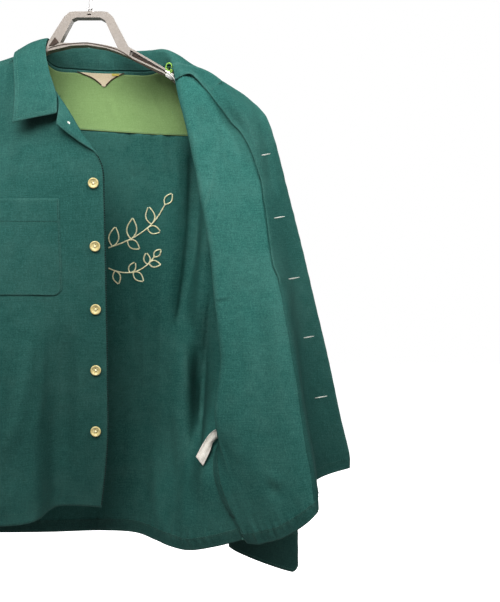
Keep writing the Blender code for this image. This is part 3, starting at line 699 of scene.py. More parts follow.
# ---------------------------------------------------------------- yoke
# station: front seam or neckline | ridge | down the back | back seam
YOKE = (
    ((-245, -12, -196), (-247, 4, -187), (-246, 24, -200), (-245, 34, -217)),
    ((-180, -14, -159), (-180, 2, -150), (-180, 28, -174), (-180, 42, -213)),
    ((-128, -14, -142), (-128, 1, -133), (-128, 34, -160), (-130, 52, -214)),
    ((-91, -13, -129), (-90, 1, -121.5), (-97, 38, -152), (-102, 56, -216)),
    ((-81, 8, -118.5), (-83, 14, -122), (-87, 44, -160), (-90, 58, -217)),
    ((-62, 35, -131), (-64, 39, -141), (-70, 50, -171), (-74, 59, -218)),
    ((-34, 52, -130), (-35, 54, -141), (-38, 58, -171), (-40, 61, -220)),
    ((8, 55, -132), (8, 57, -143), (8, 60, -173), (8, 63, -223)),
    ((42, 48, -134), (43, 51, -145), (48, 58, -175), (52, 62, -226)),
    ((85, 25, -141), (87, 30, -151), (92, 48, -181), (97, 60, -229)),
    ((111, 9, -138.5), (111, 14, -143), (112, 41, -179), (115, 58, -230)),
    ((122, -12, -149), (121, 3, -141.5), (124, 36, -176), (130, 56, -231)),
    ((150, -13, -169), (150, 3, -160), (152, 34, -190), (157, 52, -233)),
    ((190, -13, -192), (190, 4, -183), (191, 28, -206), (194, 44, -236)),
    ((237, -8, -226), (240, 8, -218), (241, 24, -228), (240, 34, -241)),
)
YOKE_NET = np.array(YOKE, float)  # [station][across]


def seam_at(row, station):
    """A place on one of the yoke's rows, between its stations."""
    return smooth(YOKE_NET[:, row], [station])[0]


# ---------------------------------------------------------------- back
# the yoke's station above each column: side, two, middle, then the left half's ridges and troughs
BACK_STATIONS = (0, 1.1, 4.2, 7, 8.5, 10.1, 11.8, 12.5, 13.4, 14)
# z | x and y of r1 | r2 | middle | l1 | l2 | trough | ridge | l4 (the sides come from the seams)
BACK = (
    (-300, (-175, 56), (-85, 68), (5, 74), (72, 74), (118, 70), (152, 86), (178, 56), (212, 56)),
    (-400, (-178, 58), (-88, 72), (5, 80), (70, 80), (112, 74), (148, 90), (168, 50), (208, 56)),
    (-500, (-180, 58), (-88, 74), (5, 84), (66, 86), (106, 74), (131, 86), (162, 52), (204, 48)),
    (-590, (-182, 60), (-88, 76), (5, 88), (66, 90), (104, 72), (134, 58), (157, 86), (188, 42)),
    (-656, (-186, 64), (-88, 80), (4, 90), (64, 90), (100, 68), (134, 50), (157, 78), (178, 24)),
    (-728, (-190, 66), (-88, 84), (2, 90), (60, 84), (98, 62), (130, 34), (150, 14), (166, -32)),
    (-792, (-194, 68), (-90, 86), (0, 90), (56, 74), (94, 44), (122, 14), (142, -14), (172, -31)),
)
BACK_HEM = ((-196, 68, -850), (-92, 84, -856), (0, 86, -854), (56, 66, -851), (92, 32, -852),
    (118, 2, -852), (146, -15, -852), (186, -29, -842))
top = [seam_at(3, s) + (0, 0, -0.15) for s in BACK_STATIONS]
rows = [top]
for z, *points in BACK:
    left = side_point(SIDE_LEFT, z, 3)
    rows.append([side_point(SIDE_RIGHT, z, 3), *[(x, y, z) for x, y in points], left])
rows.append([side_point(SIDE_RIGHT, -815, 3), *BACK_HEM, side_point(SIDE_LEFT, -829, 3)])
BACK_NET = np.array(rows, float)


# ---------------------------------------------------------------- right front
# side z | c1 | c2 | c3 | c4 | roll | edge (the side comes from the seam)
FRONT_RIGHT = (
    (-225, (-195, -20, -200), (-142, -24, -185), (-92, -24, -168), (-62, -36, -192),
        (-17, -55, -226), (-14, -63, -258)),
    (-250, (-197, -26, -235), (-146, -31, -225), (-95, -35, -210), (-56, -44, -226),
        (-3, -57, -250), (3, -62, -270)),
    (-275, (-199, -31, -268), (-149, -38, -262), (-97, -43, -255), (-53, -50, -262),
        (11, -58, -273), (20, -60, -282)),
    (-300, (-200, -35, -300), (-150, -44, -300), (-98, -50, -300), (-51, -55, -300),
        (17, -58, -300), (29, -58, -300)),
    (-345, (-201, -41, -345), (-150, -52, -345), (-95, -56, -345), (-50, -57, -345),
        (19, -56, -345), (31, -55, -345)),
    (-412, (-200, -47, -412), (-146, -61, -412), (-88, -61, -412), (-47, -57, -412),
        (20, -53, -412), (32, -52, -412)),
    (-500, (-202, -50, -500), (-142, -68, -500), (-80, -64, -500), (-44, -53, -500),
        (20, -49, -500), (33, -48, -500)),
    (-590, (-205, -53, -590), (-138, -76, -590), (-72, -68, -590), (-42, -46, -590),
        (19, -43, -590), (33, -41, -590)),
    (-690, (-210, -56, -690), (-130, -84, -690), (-66, -76, -690), (-41, -38, -690),
        (17, -36, -690), (32, -35, -690)),
    (-815, (-215, -58, -799), (-125, -90, -795), (-62, -84, -791), (-40, -33, -783), (8, -27, -785),
        (21, -25, -787)),
)
DOWN = np.array((0, -0.1, -0.35))
rows = [[seam_at(0, 0) + DOWN, seam_at(0, 0.85) + DOWN, seam_at(0, 1.9) + DOWN,
    seam_at(0, 3) + DOWN, (-66, -29, -163), (-37, -47, -199), (-34, -66, -242)]]
for z, *points in FRONT_RIGHT:
    rows.append([side_point(SIDE_RIGHT, z, 2), *points])
RIGHT_NET = np.array(rows, float)


# ---------------------------------------------------------------- left front, swung open
# side z | mid | fold | quarter | crest | valley | edge
# the panel runs in to its fold, turns, and runs out again
FRONT_LEFT = (
    (-245, (192, -9, -228), (133, -23, -196), (164, -27, -192), (197, -23, -199), (226, -15, -203),
        (256, 4, -208)),
    (-275, (194, -5, -262), (145, -28, -241), (182, -26, -239), (219, -21, -237), (244, -15, -235),
        (266, 2, -230)),
    (-343, (204, 0, -343), (165, -34, -343), (210, -31, -342), (254, -21, -341), (276, 2, -338),
        (295, 22, -335)),
    (-416, (208, 2, -416), (178, -38, -416), (220, -37, -416), (265, -28, -415), (293, 10, -413),
        (315, 28, -411)),
    (-487, (210, 2, -487), (185, -43, -487), (230, -46, -487), (280, -45, -487), (304, 8, -487),
        (333, 30, -487)),
    (-569, (212, -12, -569), (194, -50, -569), (242, -58, -569), (294, -60, -568), (313, 8, -572),
        (354, 30, -575)),
    (-656, (199, -24, -656), (187, -52, -656), (244, -65, -656), (307, -72, -653), (322, 6, -661),
        (374, 30, -669)),
    (-728, (192, -43, -729), (206, -50, -728), (255, -69, -726), (319, -80, -720), (332, 6, -722),
        (387, 30, -725)),
    (-829, (234, -42, -833), (248, -54, -831), (284, -75, -814), (326, -85, -779), (330, 4, -757),
        (387, 30, -742)),
)
rows = [[seam_at(0, 14) + DOWN, seam_at(0, 12.9) + DOWN, seam_at(0, 11.12) + DOWN + (0, -3.2, 0),
    (150, -15, -156), (180, 0, -157), (213, 7, -174), (240, 10, -191)]]
for z, *points in FRONT_LEFT:
    rows.append([side_point(SIDE_LEFT, z, 2), *points])
LEFT_NET = np.array(rows, float)
# the fold itself is rounded by a point on each side of it, above the height where it fades
FOLD_ROWS = 8  # sections, from the top, that have the fold
extra = []
for i, row in enumerate(LEFT_NET):
    share = 1.0 if i < FOLD_ROWS else 0.0
    x, y, z = row[2]
    if i == 0:
        before, after = seam_at(0, 11.5) + DOWN, (x + 6, y - 4.5, z + 1)
    elif share:
        before, after = (x + 4.5, y + FOLD, z), (x + 4.5, y - 0.9 * FOLD, z)
    else:
        before = tuple(0.6 * row[2] + 0.4 * row[1])
        after = tuple(0.75 * row[2] + 0.25 * row[3])
    extra.append([row[0], row[1], before, row[2], after, *row[3:]])
LEFT_NET = np.array(extra, float)


# ---------------------------------------------------------------- collar
# station: neckline | roll | leaf's middle | leaf's edge, from the right front round the neck to the left
COLLAR = (
    ((-38, -57, -222), (-35, -61, -225), (-64, -67, -233), (-94, -68, -240)),
    ((-40, -49, -198), (-37, -55, -200), (-66, -62, -211), (-94, -61, -216)),
    ((-69, -31, -161), (-52, -34, -160), (-76, -44, -178), (-98, -45, -186)),
    ((-92, -14, -126.5), (-63, -15, -123), (-85, -24, -130), (-105, -29, -141)),
    ((-81, 7, -116.5), (-65, 8, -98), (-86, 5, -104), (-109, 3, -120)),
    ((-62, 35, -129), (-61, 32, -103), (-74, 45, -109), (-93, 56, -146)),
    ((-34, 52, -128), (-40, 52, -95), (-44, 64, -103), (-50, 70, -152)),
    ((8, 55, -130), (4, 57, -97), (4, 69, -105), (4, 75, -157)),
    ((42, 48, -132), (47, 47, -104), (54, 61, -110), (62, 71, -162)),
    ((85, 25, -139), (86, 27, -109), (99, 41, -116), (117, 53, -168)),
    ((113, 8, -136.5), (108, 12, -113), (124, 28, -122), (145, 47, -178)),
    ((124, -12, -145), (128, 8, -122), (142, 27, -134), (158, 48, -188)),
    ((148, -15, -152.5), (150, 6, -137), (156, 30, -150), (168, 47, -198)),
    ((176, -2, -153), (177, 5, -150), (176, 30, -172), (176, 46, -203)),
)
COLLAR_NET = np.array(COLLAR, float)


# ---------------------------------------------------------------- sleeves
# centre z | drop across | centre x | half width | centre y | half depth, from the armhole to the cuff
SLEEVE_RIGHT = (
    (-385, 118, -265, 20, 12, 36),
    (-478, 75, -290, 40, 12, 40),
    (-605, 20, -304, 44, 14, 34),
    (-730, 0, -320, 48, 14, 27),
    (-822, 0, -331, 53, 14, 21),
)
SLEEVE_LEFT = (
    (-412, 118, 257, 18, 54, 36),
    (-495, 75, 273, 36, 76, 34),
    (-615, 20, 273, 44, 82, 30),
    (-740, 0, 264, 50, 81, 25),
    (-834, -20, 257, 53, 79, 20),
)
ROUND = 16  # points round a sleeve's section
ARMHOLE_OUT = 1.8  # how far a sleeve starts outside the panels' edges


def armhole(table, tip, sign):
    """The loop of an armhole: over the yoke's end, down the front, round the underarm and up the back."""
    ridge, front, back_tip = tip[1], tip[0], tip[3]
    zs = [table[i][0] for i in (2, 3, 4)]
    low = table[5][0] - 5
    loop = [ridge, front]
    loop += [side_point(table, z, 2) for z in zs]
    loop += [(at_height(table, low, 1), (table[5][2] + table[5][3]) / 2, low)]
    loop += [side_point(table, z, 3) for z in reversed(zs)]
    loop += [back_tip]
    loop = np.array(loop, float) + (sign * ARMHOLE_OUT, 0, 0)
    n = len(loop)
    again = np.concatenate([loop[-2:], loop, loop[:3]])
    # even steps down the front, then even steps up the back
    down = np.linspace(0, 5, ROUND // 2 + 1)[:-1]
    up = np.linspace(5, n, ROUND // 2 + 1)[:-1]
    return smooth(again, np.concatenate([down, up]) + 2)


ROUND_ANGLES = 2 * math.pi * np.arange(ROUND) / ROUND


def ring(z, drop, x, half, y, depth, sign, a=ROUND_ANGLES, lift=0.0):
    """A flattened loop round a sleeve at the angles a, which start on its outer side."""
    squash = np.sign(np.sin(a)) * np.abs(np.sin(a)) ** 0.8
    return np.stack([x + sign * half * np.cos(a), y - depth * squash, z + drop * np.cos(a) + lift], axis=1)


# ---------------------------------------------------------------- the cloth panels
def patch(panel, us, vs, columns, rows, lift, corner, step=3.0):
    """A patch sewn on a panel between two of its table's columns and rows, its lower corners rounded."""
    i0, i1 = np.interp(rows, vs, np.arange(len(vs)))
    j0, j1 = np.interp(columns, us, np.arange(len(us)))
    width = np.linalg.norm(panel.at(i0, j0)[0] - panel.at(i0, j1)[0])
    tall = np.linalg.norm(panel.at(i0, (j0 + j1) / 2)[0] - panel.at(i1, (j0 + j1) / 2)[0])
    t = np.linspace(0, 1, int(tall / step) + 1)
    round_share = corner / tall
    bend = np.sin(np.linspace(0, math.pi / 2, 9))
    t = np.concatenate([t[t < 1 - round_share], 1 - round_share * (1 - bend)])
    low = np.clip((t - 1 + round_share) / round_share, 0, 1)
    f = 1 - (2 * corner / width) * (1 - np.sqrt(np.maximum(1 - low**2, 0)))
    s = np.linspace(-0.5, 0.5, int(width / step) + 1)
    j = (j0 + j1) / 2 + (j1 - j0) * s[None] * f[:, None]
    i = i0 + (i1 - i0) * t[:, None] + 0 * j
    points, n = panel.at(i, j, lift)
    return Panel(points).faced(n)


def hang_from_yoke(grid, us, columns, stations):
    """Puts a front's top row on the yoke's seam, from the table's columns to the yoke's stations."""
    for j, u in enumerate(us):
        if u <= columns[-1]:
            grid[0, j] = seam_at(0, np.interp(u, columns, stations)) + DOWN


# back: depth | half width | lean | fade | where it is seen (troughs away from the eye are above zero)
BACK_FOLDS = (
    (3.0, 6.0, 0.0, 0.35, ((-62, 150), (-64, 220), (-59, 300))),
    (-2.8, 5.0, 0.0, 0.35, ((-40, 148), (-38, 230), (-34, 330))),
    (2.4, 5.0, 0.0, 0.4, ((18, 146), (21, 200), (17, 270))),
    (-2.6, 6.0, 0.0, 0.4, ((50, 146), (47, 220), (52, 310))),
    (2.8, 7.0, 0.0, 0.4, ((-18, 330), (-24, 420), (-17, 500))),
    (-2.8, 7.0, 0.0, 0.4, ((32, 350), (37, 430), (30, 510))),
    (2.2, 5.0, 0.0, 0.35, ((-80, 300), (-76, 380), (-82, 470))),
    (-2.0, 5.0, 0.0, 0.4, ((76, 250), (72, 310), (77, 390))),
    (3.6, 4.2, -0.35, 0.16, ((190, 138), (191, 170), (190, 205), (187, 250), (181, 300), (176, 334))),
    (-2.2, 5.0, 0.0, 0.3, ((203, 190), (203, 240), (200, 290), (194, 345))),
    (4.4, 2.8, -0.3, 0.25, ((211, 280), (206, 330), (202, 385), (199, 435), (195, 492))),
    (-1.6, 4.0, 0.0, 0.3, ((188, 345), (189, 400), (188, 450), (184, 495))),
    (-1.3, 2.2, 0.3, 0.3, ((163, 245), (162, 300), (161, 350), (160, 410))),
    (-2.6, 6.5, 0.0, 0.25, ((157, 430), (156, 475), (159, 510), (168, 545))),
    (2.2, 5.0, 0.0, 0.3, ((170, 400), (171, 450), (176, 500))),
    (1.6, 3.2, 0.0, 0.35, ((131, 265), (133, 310), (135, 360))),
    (-1.3, 3.0, 0.0, 0.35, ((142, 290), (144, 350), (143, 420))),
    (1.5, 4.0, 0.0, 0.3, ((121, 380), (122, 440), (119, 505))),
    (2.4, 2.6, 0.0, 0.0, ((130, 131), (131, 160), (133, 178))),
    (1.0, 2.6, 0.0, 0.6, ((133, 170), (134, 190), (135, 215))),
    (2.4, 3.0, 0.0, 0.0, ((168, 132), (170, 155), (174, 180))),
    (1.2, 2.6, 0.0, 0.6, ((173, 172), (176, 195), (179, 220))),
    (-1.4, 2.2, 0.0, 0.0, ((139, 131), (140, 150), (141, 168))),
    (1.3, 1.8, 0.0, 0.0, ((120, 131), (121, 148), (121, 160))),
    (1.2, 1.8, 0.0, 0.0, ((152, 131), (153, 146), (155, 160))),
    (-1.2, 2.4, 0.0, 0.0, ((160, 131), (161, 150), (163, 166))),
    (2.4, 2.8, 0.0, 0.0, ((62, 128), (60, 155), (58, 185))),
    (2.0, 2.8, 0.0, 0.0, ((32, 127), (29, 150), (26, 180))),
    (-1.4, 2.4, 0.0, 0.0, ((46, 128), (45, 148), (44, 170))),
    (-4.0, 9.0, 0.0, 0.3, ((30, 250), (26, 340), (18, 430), (12, 520))),
    (4.0, 10.0, 0.0, 0.25, ((60, 270), (56, 360), (54, 450), (52, 535))),
    (-3.0, 8.0, 0.0, 0.3, ((-20, 230), (-26, 330), (-30, 440), (-28, 520))),
    (3.5, 8.0, 0.0, 0.3, ((0, 300), (-4, 400), (-8, 510))),
)
back_us, back_vs = even(BACK_NET[4]), even(BACK_NET[:, 4])
back = Panel(net_grid(BACK_NET, back_us, back_vs), out=(90, 60, 1, 1))
back.creases(BACK_FOLDS)
back.uneven(46.0, 0.75, 1)
back.measure()
back.pucker(back.bottom - 19, back.left, 0.55, 12.0, 9.0, 1.0)
back.pucker(back.top, back.left, 0.22, 8.0, 12.0, 2.0)
back_panel = shell("back_panel", back, HALF, GREEN, "back")

# right front: ridges towards the eye are above zero
RIGHT_FOLDS = (
    (8.0, 12.0, 0.1, 0.45, ((44, 300), (30, 345), (22, 385), (12, 430), (0, 455), (-14, 478))),
    (-5.0, 11.0, 0.0, 0.4, ((8, 340), (0, 390), (-12, 430), (-26, 465))),
    (-6.5, 11.0, -0.2, 0.4, ((61, 312), (62, 370), (60, 430), (58, 503))),
    (2.4, 5.0, 0.0, 0.3, ((43, 305), (43, 350), (40, 400), (34, 450))),
    (1.6, 5.0, 0.0, 0.3, ((76, 320), (78, 380), (76, 440), (72, 500))),
    (-1.4, 3.4, 0.0, 0.35, ((84, 215), (86, 255), (87, 300), (86, 350))),
    (1.5, 4.0, 0.0, 0.4, ((30, 132), (22, 160), (15, 195))),
    (-1.6, 4.0, 0.0, 0.4, ((14, 128), (9, 155), (4, 190))),
    (2.6, 5.0, 0.0, 0.3, ((6, 62), (5, 85), (2, 115))),
    (-2.0, 4.0, 0.0, 0.3, ((-8, 68), (-9, 95), (-12, 125))),
    (-1.4, 3.0, 0.0, 0.4, ((78, 165), (72, 188), (66, 215))),
    (1.2, 3.0, 0.0, 0.4, ((86, 170), (82, 195), (76, 225))),
    (-1.8, 5.0, 0.0, 0.4, ((30, 440), (27, 475), (26, 515))),
    (2.2, 6.0, 0.0, 0.4, ((12, 480), (8, 500), (2, 520))),
    (3.0, 8.0, 0.0, 0.3, ((-40, 220), (-42, 320), (-46, 420))),
    (-3.0, 8.0, 0.0, 0.3, ((-22, 310), (-26, 390), (-34, 500))),
)
right_us, right_vs = even(RIGHT_NET[6]), even(RIGHT_NET[:, 4])
right_grid = net_grid(RIGHT_NET, right_us, right_vs)
hang_from_yoke(right_grid, right_us, (0, 1, 2, 3), (0, 0.85, 1.9, 3))
right = Panel(right_grid, out=(120, 50, 1, -1))
right.creases(RIGHT_FOLDS)
right.uneven(42.0, 0.6, 2)
right.measure()
right.pucker(right.bottom - 16, right.left, 0.5, 12.0, 8.0, 3.0)
right.pucker(right.top, right.left, 0.18, 9.0, 9.0, 4.0)
right.pucker(right.right, right.top, 0.16, 15.0, 7.0, 5.0)
right_front = shell("right_front", right, HALF, GREEN, "front_right")


def towards_eye(panel):
    """On a panel that mostly shows its inside, the part that does; nothing on another panel."""
    return panel.n[..., 1] > 0.05 if (panel.n[..., 1] > 0).mean() > 0.5 else None


def facing(name, panel, edge_seen, node, gap, ends_at):
    """A facing inside the opening edge, its free edge where it is seen, in px.

    That edge stands off by the gap above the height ends_at, in px, and is pressed flat below."""
    rows, cols = panel.grid.shape[:2]
    i, j = panel.under(edge_seen, towards_eye(panel))
    order = np.argsort(i)
    first = np.interp(np.arange(rows), i[order], j[order])[:, None]
    share = np.linspace(0, 1, int(cols - first.max()) + 8)[None]
    at_j = first + (cols - 1 - first) * share
    at_i = np.broadcast_to(np.arange(rows)[:, None], at_j.shape)
    points, ns = panel.at(at_i, at_j)
    face = Panel(points)
    face.n = -ns
    stands = 1 - ease((seen(face.grid)[..., 1] - ends_at) / 40 + 0.5)
    raised = gap * stands * np.exp(-((face.left / 7.0) ** 2)) * ease(face.right / 8.0)
    lift = AIR * ease(face.right / 3.0) + raised
    thick = 2 * LAYER * (stands + (1 - stands) * (0.12 + 0.88 * ease(face.left / 7.0)))
    wear = edge_wear(face) * np.where((stands < 0.5) & (face.left < 12), 0.0, 1.0)
    low = HALF + lift
    made = shell(name, face, LAYER, GREEN, node, low=low, high=low + thick, wear=wear)
    top = Panel(face.grid + face.n * (low + thick)[..., None])
    top.n = face.n
    return made, top


RIGHT_FACING_SEEN = ((66, 150), (62, 175), (58, 210), (56, 260), (55, 320), (55, 400), (54, 460), (53, 506))
LEFT_FACING_SEEN = (
    (186, 75.5), (190.2, 75), (195.3, 78.5), (201.4, 84.9), (211.6, 97.1), (221.8, 109.4), (232, 123.7),
    (240.2, 131.8), (247.3, 143.1), (252.4, 155.3), (256.5, 168.6), (260.6, 182.9), (262.7, 200),
    (266, 221.8), (268.3, 240), (272.7, 267.6), (277.5, 278.5), (283.6, 312.4), (288.5, 339), (292.1, 361),
    (296.9, 387.5), (301.2, 420), (305.5, 450), (310.6, 475), (314, 505))
right_facing_cloth, right_facing = facing("right_facing", right, RIGHT_FACING_SEEN, "facing_right", 0.2, 900)

# left front: turned inside out beyond its fold, where troughs away from the eye are above zero
LEFT_FOLDS = (
    (-4.5, 6.0, 0.2, 0.3, ((200, 78), (226, 97), (244, 120), (255, 148), (263, 185))),
    (3.6, 5.5, 0.0, 0.3, ((243, 92), (258, 112), (266, 140), (271, 175), (276, 200))),
    (2.4, 4.5, 0.0, 0.3, ((196, 84), (214, 108), (230, 132), (242, 160), (249, 190))),
    (-1.7, 2.2, 0.3, 0.3, ((217, 155), (213, 178), (208, 198), (203, 216))),
    (1.0, 2.2, 0.0, 0.4, ((211, 160), (208, 180), (203, 198))),
    (-1.2, 1.4, 0.0, 0.4, ((212, 299), (221, 298), (231, 295))),
    (0.9, 1.6, 0.0, 0.4, ((212, 303), (222, 302), (234, 299))),
    (0.7, 1.3, 0.0, 0.3, ((238, 284), (247, 286), (258, 282))),
    (2.4, 4.5, 0.0, 0.5, ((264, 484), (275, 492), (285, 500))),
    (-2.0, 5.0, 0.0, 0.5, ((262, 470), (274, 478), (288, 484))),
    (-1.8, 7.0, 0.0, 0.3, ((232, 210), (238, 260), (244, 320), (250, 380))),
    (1.6, 8.0, 0.0, 0.3, ((252, 240), (258, 300), (264, 360), (268, 430))),
    (-1.6, 6.0, 0.0, 0.3, ((232, 360), (236, 420), (238, 480))),
    (1.8, 5.0, 0.0, 0.35, ((222, 430), (226, 470), (236, 510))),
    (-1.6, 4.0, 0.0, 0.4, ((206, 470), (216, 500), (232, 526))),
    (1.4, 3.0, 0.0, 0.4, ((252, 508), (254, 525), (256, 540))),
    (1.4, 3.0, 0.0, 0.4, ((292, 490), (296, 510), (298, 528))),
    (-1.4, 3.0, 0.0, 0.4, ((276, 505), (280, 520), (283, 534))),
    (1.6, 3.6, 0.0, 0.3, ((196, 100), (201, 130), (206, 165))),
    (-1.4, 3.6, 0.0, 0.3, ((212, 100), (222, 135), (228, 175))),
)
left_us, left_vs = even(LEFT_NET[6], turning=7.0), even(LEFT_NET[:, 6])
left_grid = net_grid(LEFT_NET, left_us, left_vs)
hang_from_yoke(left_grid, left_us, (0, 1, 2), (14, 12.9, 11.5))
j_inner = int(np.argmin(np.abs(left_us - 5)))
left = Panel(left_grid, out=(100, j_inner, 1, 1))
inner_side = np.broadcast_to(left_us >= 3.2, left.grid.shape[:2])
left.creases(LEFT_FOLDS, inner_side)
left.uneven(44.0, 0.7, 3)
left.measure()
left.pucker(left.bottom - 17, left.left, 0.9, 12.0, 8.0, 6.0)
left.pucker(left.right, left.top, 0.22, 21.0, 8.0, 7.0)
left_front = shell("left_front", left, HALF, GREEN, "front_left")
left_facing_cloth, left_facing = facing("left_facing", left, LEFT_FACING_SEEN, "facing_left", 1.9, 285)

# yoke and its lining
yoke_us, yoke_vs = even(YOKE_NET[:, 1], turning=4.0), even(YOKE_NET[7], 2.6)
yoke = Panel(net_grid(YOKE_NET.transpose(1, 0, 2), yoke_us, yoke_vs), out=(20, 70, 1, 1))
yoke.uneven(40.0, 0.45, 4)
yoke.measure()
yoke.pucker(yoke.bottom - 2, yoke.left, 0.16, 9.0, 6.0, 8.0)
yoke_outer = shell("yoke_outer", yoke, HALF, GREEN, "yoke")
LINING_FOLDS = (
    (1.4, 2.2, 0.0, 0.3, ((62, 84), (60, 105), (70, 128))),
    (-1.1, 2.6, 0.0, 0.4, ((108, 92), (112, 108), (118, 126))),
    (1.0, 2.6, 0.0, 0.4, ((150, 84), (156, 105), (166, 128))),
    (1.3, 2.2, 0.0, 0.4, ((168, 90), (172, 110), (180, 130))),
)
inner = Panel(yoke.grid[np.searchsorted(yoke_vs, 0.3):])
inner.n = yoke.n[np.searchsorted(yoke_vs, 0.3):]
LINING_GAP = 0.35  # between the lining and the yoke's cloth
lining_low, lining_high = -(HALF + LINING_GAP + 2 * LAYER), -(HALF + LINING_GAP)
inner.creases(LINING_FOLDS)
inner.measure()
yoke_lining = shell("yoke_lining_cloth", inner, LAYER, LINING_CLOTH, "yoke_lining",
                    low=lining_low, high=lining_high)

# collar
collar_us = even(COLLAR_NET[:, 2], 3.0, 5.0)
collar_vs = even(COLLAR_NET[7], 2.4, 6.0)
collar = Panel(net_grid(COLLAR_NET.transpose(1, 0, 2), collar_us, collar_vs),
               out=(len(collar_vs) - 5, len(collar_us) // 2, 1, 1))
COLLAR_FOLDS = (
    (1.6, 3.0, 0.0, 0.4, ((74, 48), (80, 56), (84, 66))),
    (-1.6, 3.0, 0.0, 0.4, ((60, 50), (66, 58), (70, 68))),
    (1.4, 3.0, 0.0, 0.4, ((104, 50), (100, 60), (98, 70))),
    (-1.2, 3.0, 0.0, 0.4, ((116, 54), (114, 64), (116, 70))),
)
collar.creases(COLLAR_FOLDS)
collar.uneven(30.0, 0.4, 5, 6.0)
collar.measure()
COLLAR_HALF = 0.8
collar_leaf = shell("collar_leaf", collar, COLLAR_HALF, GREEN, "collar", doubled=True)

# the collar's end, turned over the left front where the two run together: its free edge, and where it
# leaves the collar, both in px
COLLAR_END_FREE = ((175.5, 79.5), (180, 76.6), (184.5, 74.6), (190.2, 73.9), (195.3, 77.6), (201.4, 84.2),
                   (209, 93.4))
COLLAR_END_ROOT = ((172.5, 64), (178, 62.5), (185, 64.5), (193, 66), (202, 68.7), (212, 73.6), (222, 81))
COLLAR_END_MIDDLE, COLLAR_END_REACH = (196, 76), (34, 24)
COLLAR_END_ROWS, COLLAR_END_COLUMNS = 22, 50


def run_over(free, root, points, sunk, proud):
    """Cloth laid over what the camera sees: sunk into it at its root, and proud of it at its free edge."""
    along = np.linspace(0, len(free) - 1, COLLAR_END_COLUMNS)
    down = np.linspace(0, 1, COLLAR_END_ROWS)[:, None]
    low, high = smooth(np.array(free, float), along), smooth(np.array(root, float), along)
    at = high[None] * (1 - down[..., None]) + low[None] * down[..., None]
    gap = np.linalg.norm(at[:, :, None] - seen(points)[None, None], axis=3)
    near = np.where(gap < np.maximum(gap.min(axis=2, keepdims=True) + 0.4, 2.2), points[:, 1], 1e6)
    y = near.min(axis=2)
    for _ in range(14):
        wide = np.pad(y, 1, mode="edge")
        y = (wide[:-2, 1:-1] + wide[2:, 1:-1] + wide[1:-1, :-2] + wide[1:-1, 2:]) / 4
    tip = ease((1 - np.linspace(0, 1, COLLAR_END_COLUMNS)) / 0.35)
    return behind(at, y - (sunk + (proud - sunk) * ease(down / 0.7) * tip))


over = np.concatenate([collar.grid.reshape(-1, 3), left.grid[inner_side], left_facing.grid.reshape(-1, 3)])
over = over[(np.abs(seen(over) - COLLAR_END_MIDDLE) < COLLAR_END_REACH).all(axis=1)]
turned_end = Panel(run_over(COLLAR_END_FREE, COLLAR_END_ROOT, over, -1.6, 2.2))
turned_end.measure()
collar_end = shell("collar_end", turned_end, HALF, GREEN, (), doubled=True)


AROUND = 112  # points round a finished sleeve
OVERLAP = 3  # points repeated on each side, so that the curve closes smoothly
FOLD_DEPTH, FOLD_WIDTH = 2.0, 0.8  # how much deeper and narrower the folds are than their table


def away_from_middle(grid):
    return grid - grid.mean(axis=1, keepdims=True)


def sleeve(side, table, tip, rings, sign, folds):
    """A sleeve's tube from the armhole to the cuff, and its cuff."""
    hole = armhole(table, tip, sign)
    net = np.array([hole, hole + (sign * 7.0, 0, -2.0)] + [ring(*r, sign) for r in rings])
    around = np.linspace(0, ROUND, AROUND, endpoint=False)
    wrapped = np.concatenate([net[:, -OVERLAP:], net, net[:, :OVERLAP]], axis=1)
    fine = np.stack([smooth(row, around + OVERLAP) for row in wrapped])
    vs = even(fine[:, AROUND // 4], 4.2)
    grid = np.stack([smooth(fine[:, k], vs) for k in range(AROUND)], axis=1)
    tube = Panel(grid, closed=True).faced(away_from_middle(grid))
    a = 2 * math.pi * around / ROUND
    tall = tube.top / tube.top[-1:].mean()
    move = 0
    for depth, low, high, turn, twist, wide in folds:
        centre = turn + twist * (tall - low)
        off = (a[None] - centre + math.pi) % (2 * math.pi) - math.pi
        fade = ease((tall - low) / 0.16) * ease((high - tall) / 0.16)
        move = move + FOLD_DEPTH * depth * fade * np.exp(-((off / (FOLD_WIDTH * wide)) ** 2))
    tube.move(move)
    tube.move(0.6 * rough(tube.grid, 38.0, 9 + sign) * ease(np.minimum(tube.top, tube.bottom) / 14))
    tube.measure()
    # small pleats taken into the cuff
    pleats = 1.1 * np.exp(-((tube.bottom / 26) ** 2)) * np.sin(a * 9 + 0.6 * sign)
    tube.move(pleats * (0.5 + 0.5 * np.sin(a * 2 + sign)))
    tube.measure()
    sleeve_cloth = shell("sleeve_cloth_" + side, tube, HALF, GREEN, "sleeve_" + side)
    z, drop, x, half, y, depth = rings[-1]
    corner = np.interp(np.cos(a), (0.85, 0.93, 1.0), (0, 3, 9))
    band = [ring(z + h, drop, x, half + 1.1, y, depth + 1.1, sign, a, corner * ease(-h / CUFF_TALL))
            for h in np.linspace(0.8, -CUFF_TALL, 20)]
    cuff = Panel(np.array(band), closed=True)
    cuff.faced(away_from_middle(cuff.grid))
    cuff.move(0.35 * rough(cuff.grid, 24.0, 14 + sign))
    cuff.measure()
    cuff_cloth = shell("cuff_cloth_" + side, cuff, 0.9, GREEN, "cuff_" + side, doubled=True)
    return tube, cuff, sleeve_cloth, cuff_cloth


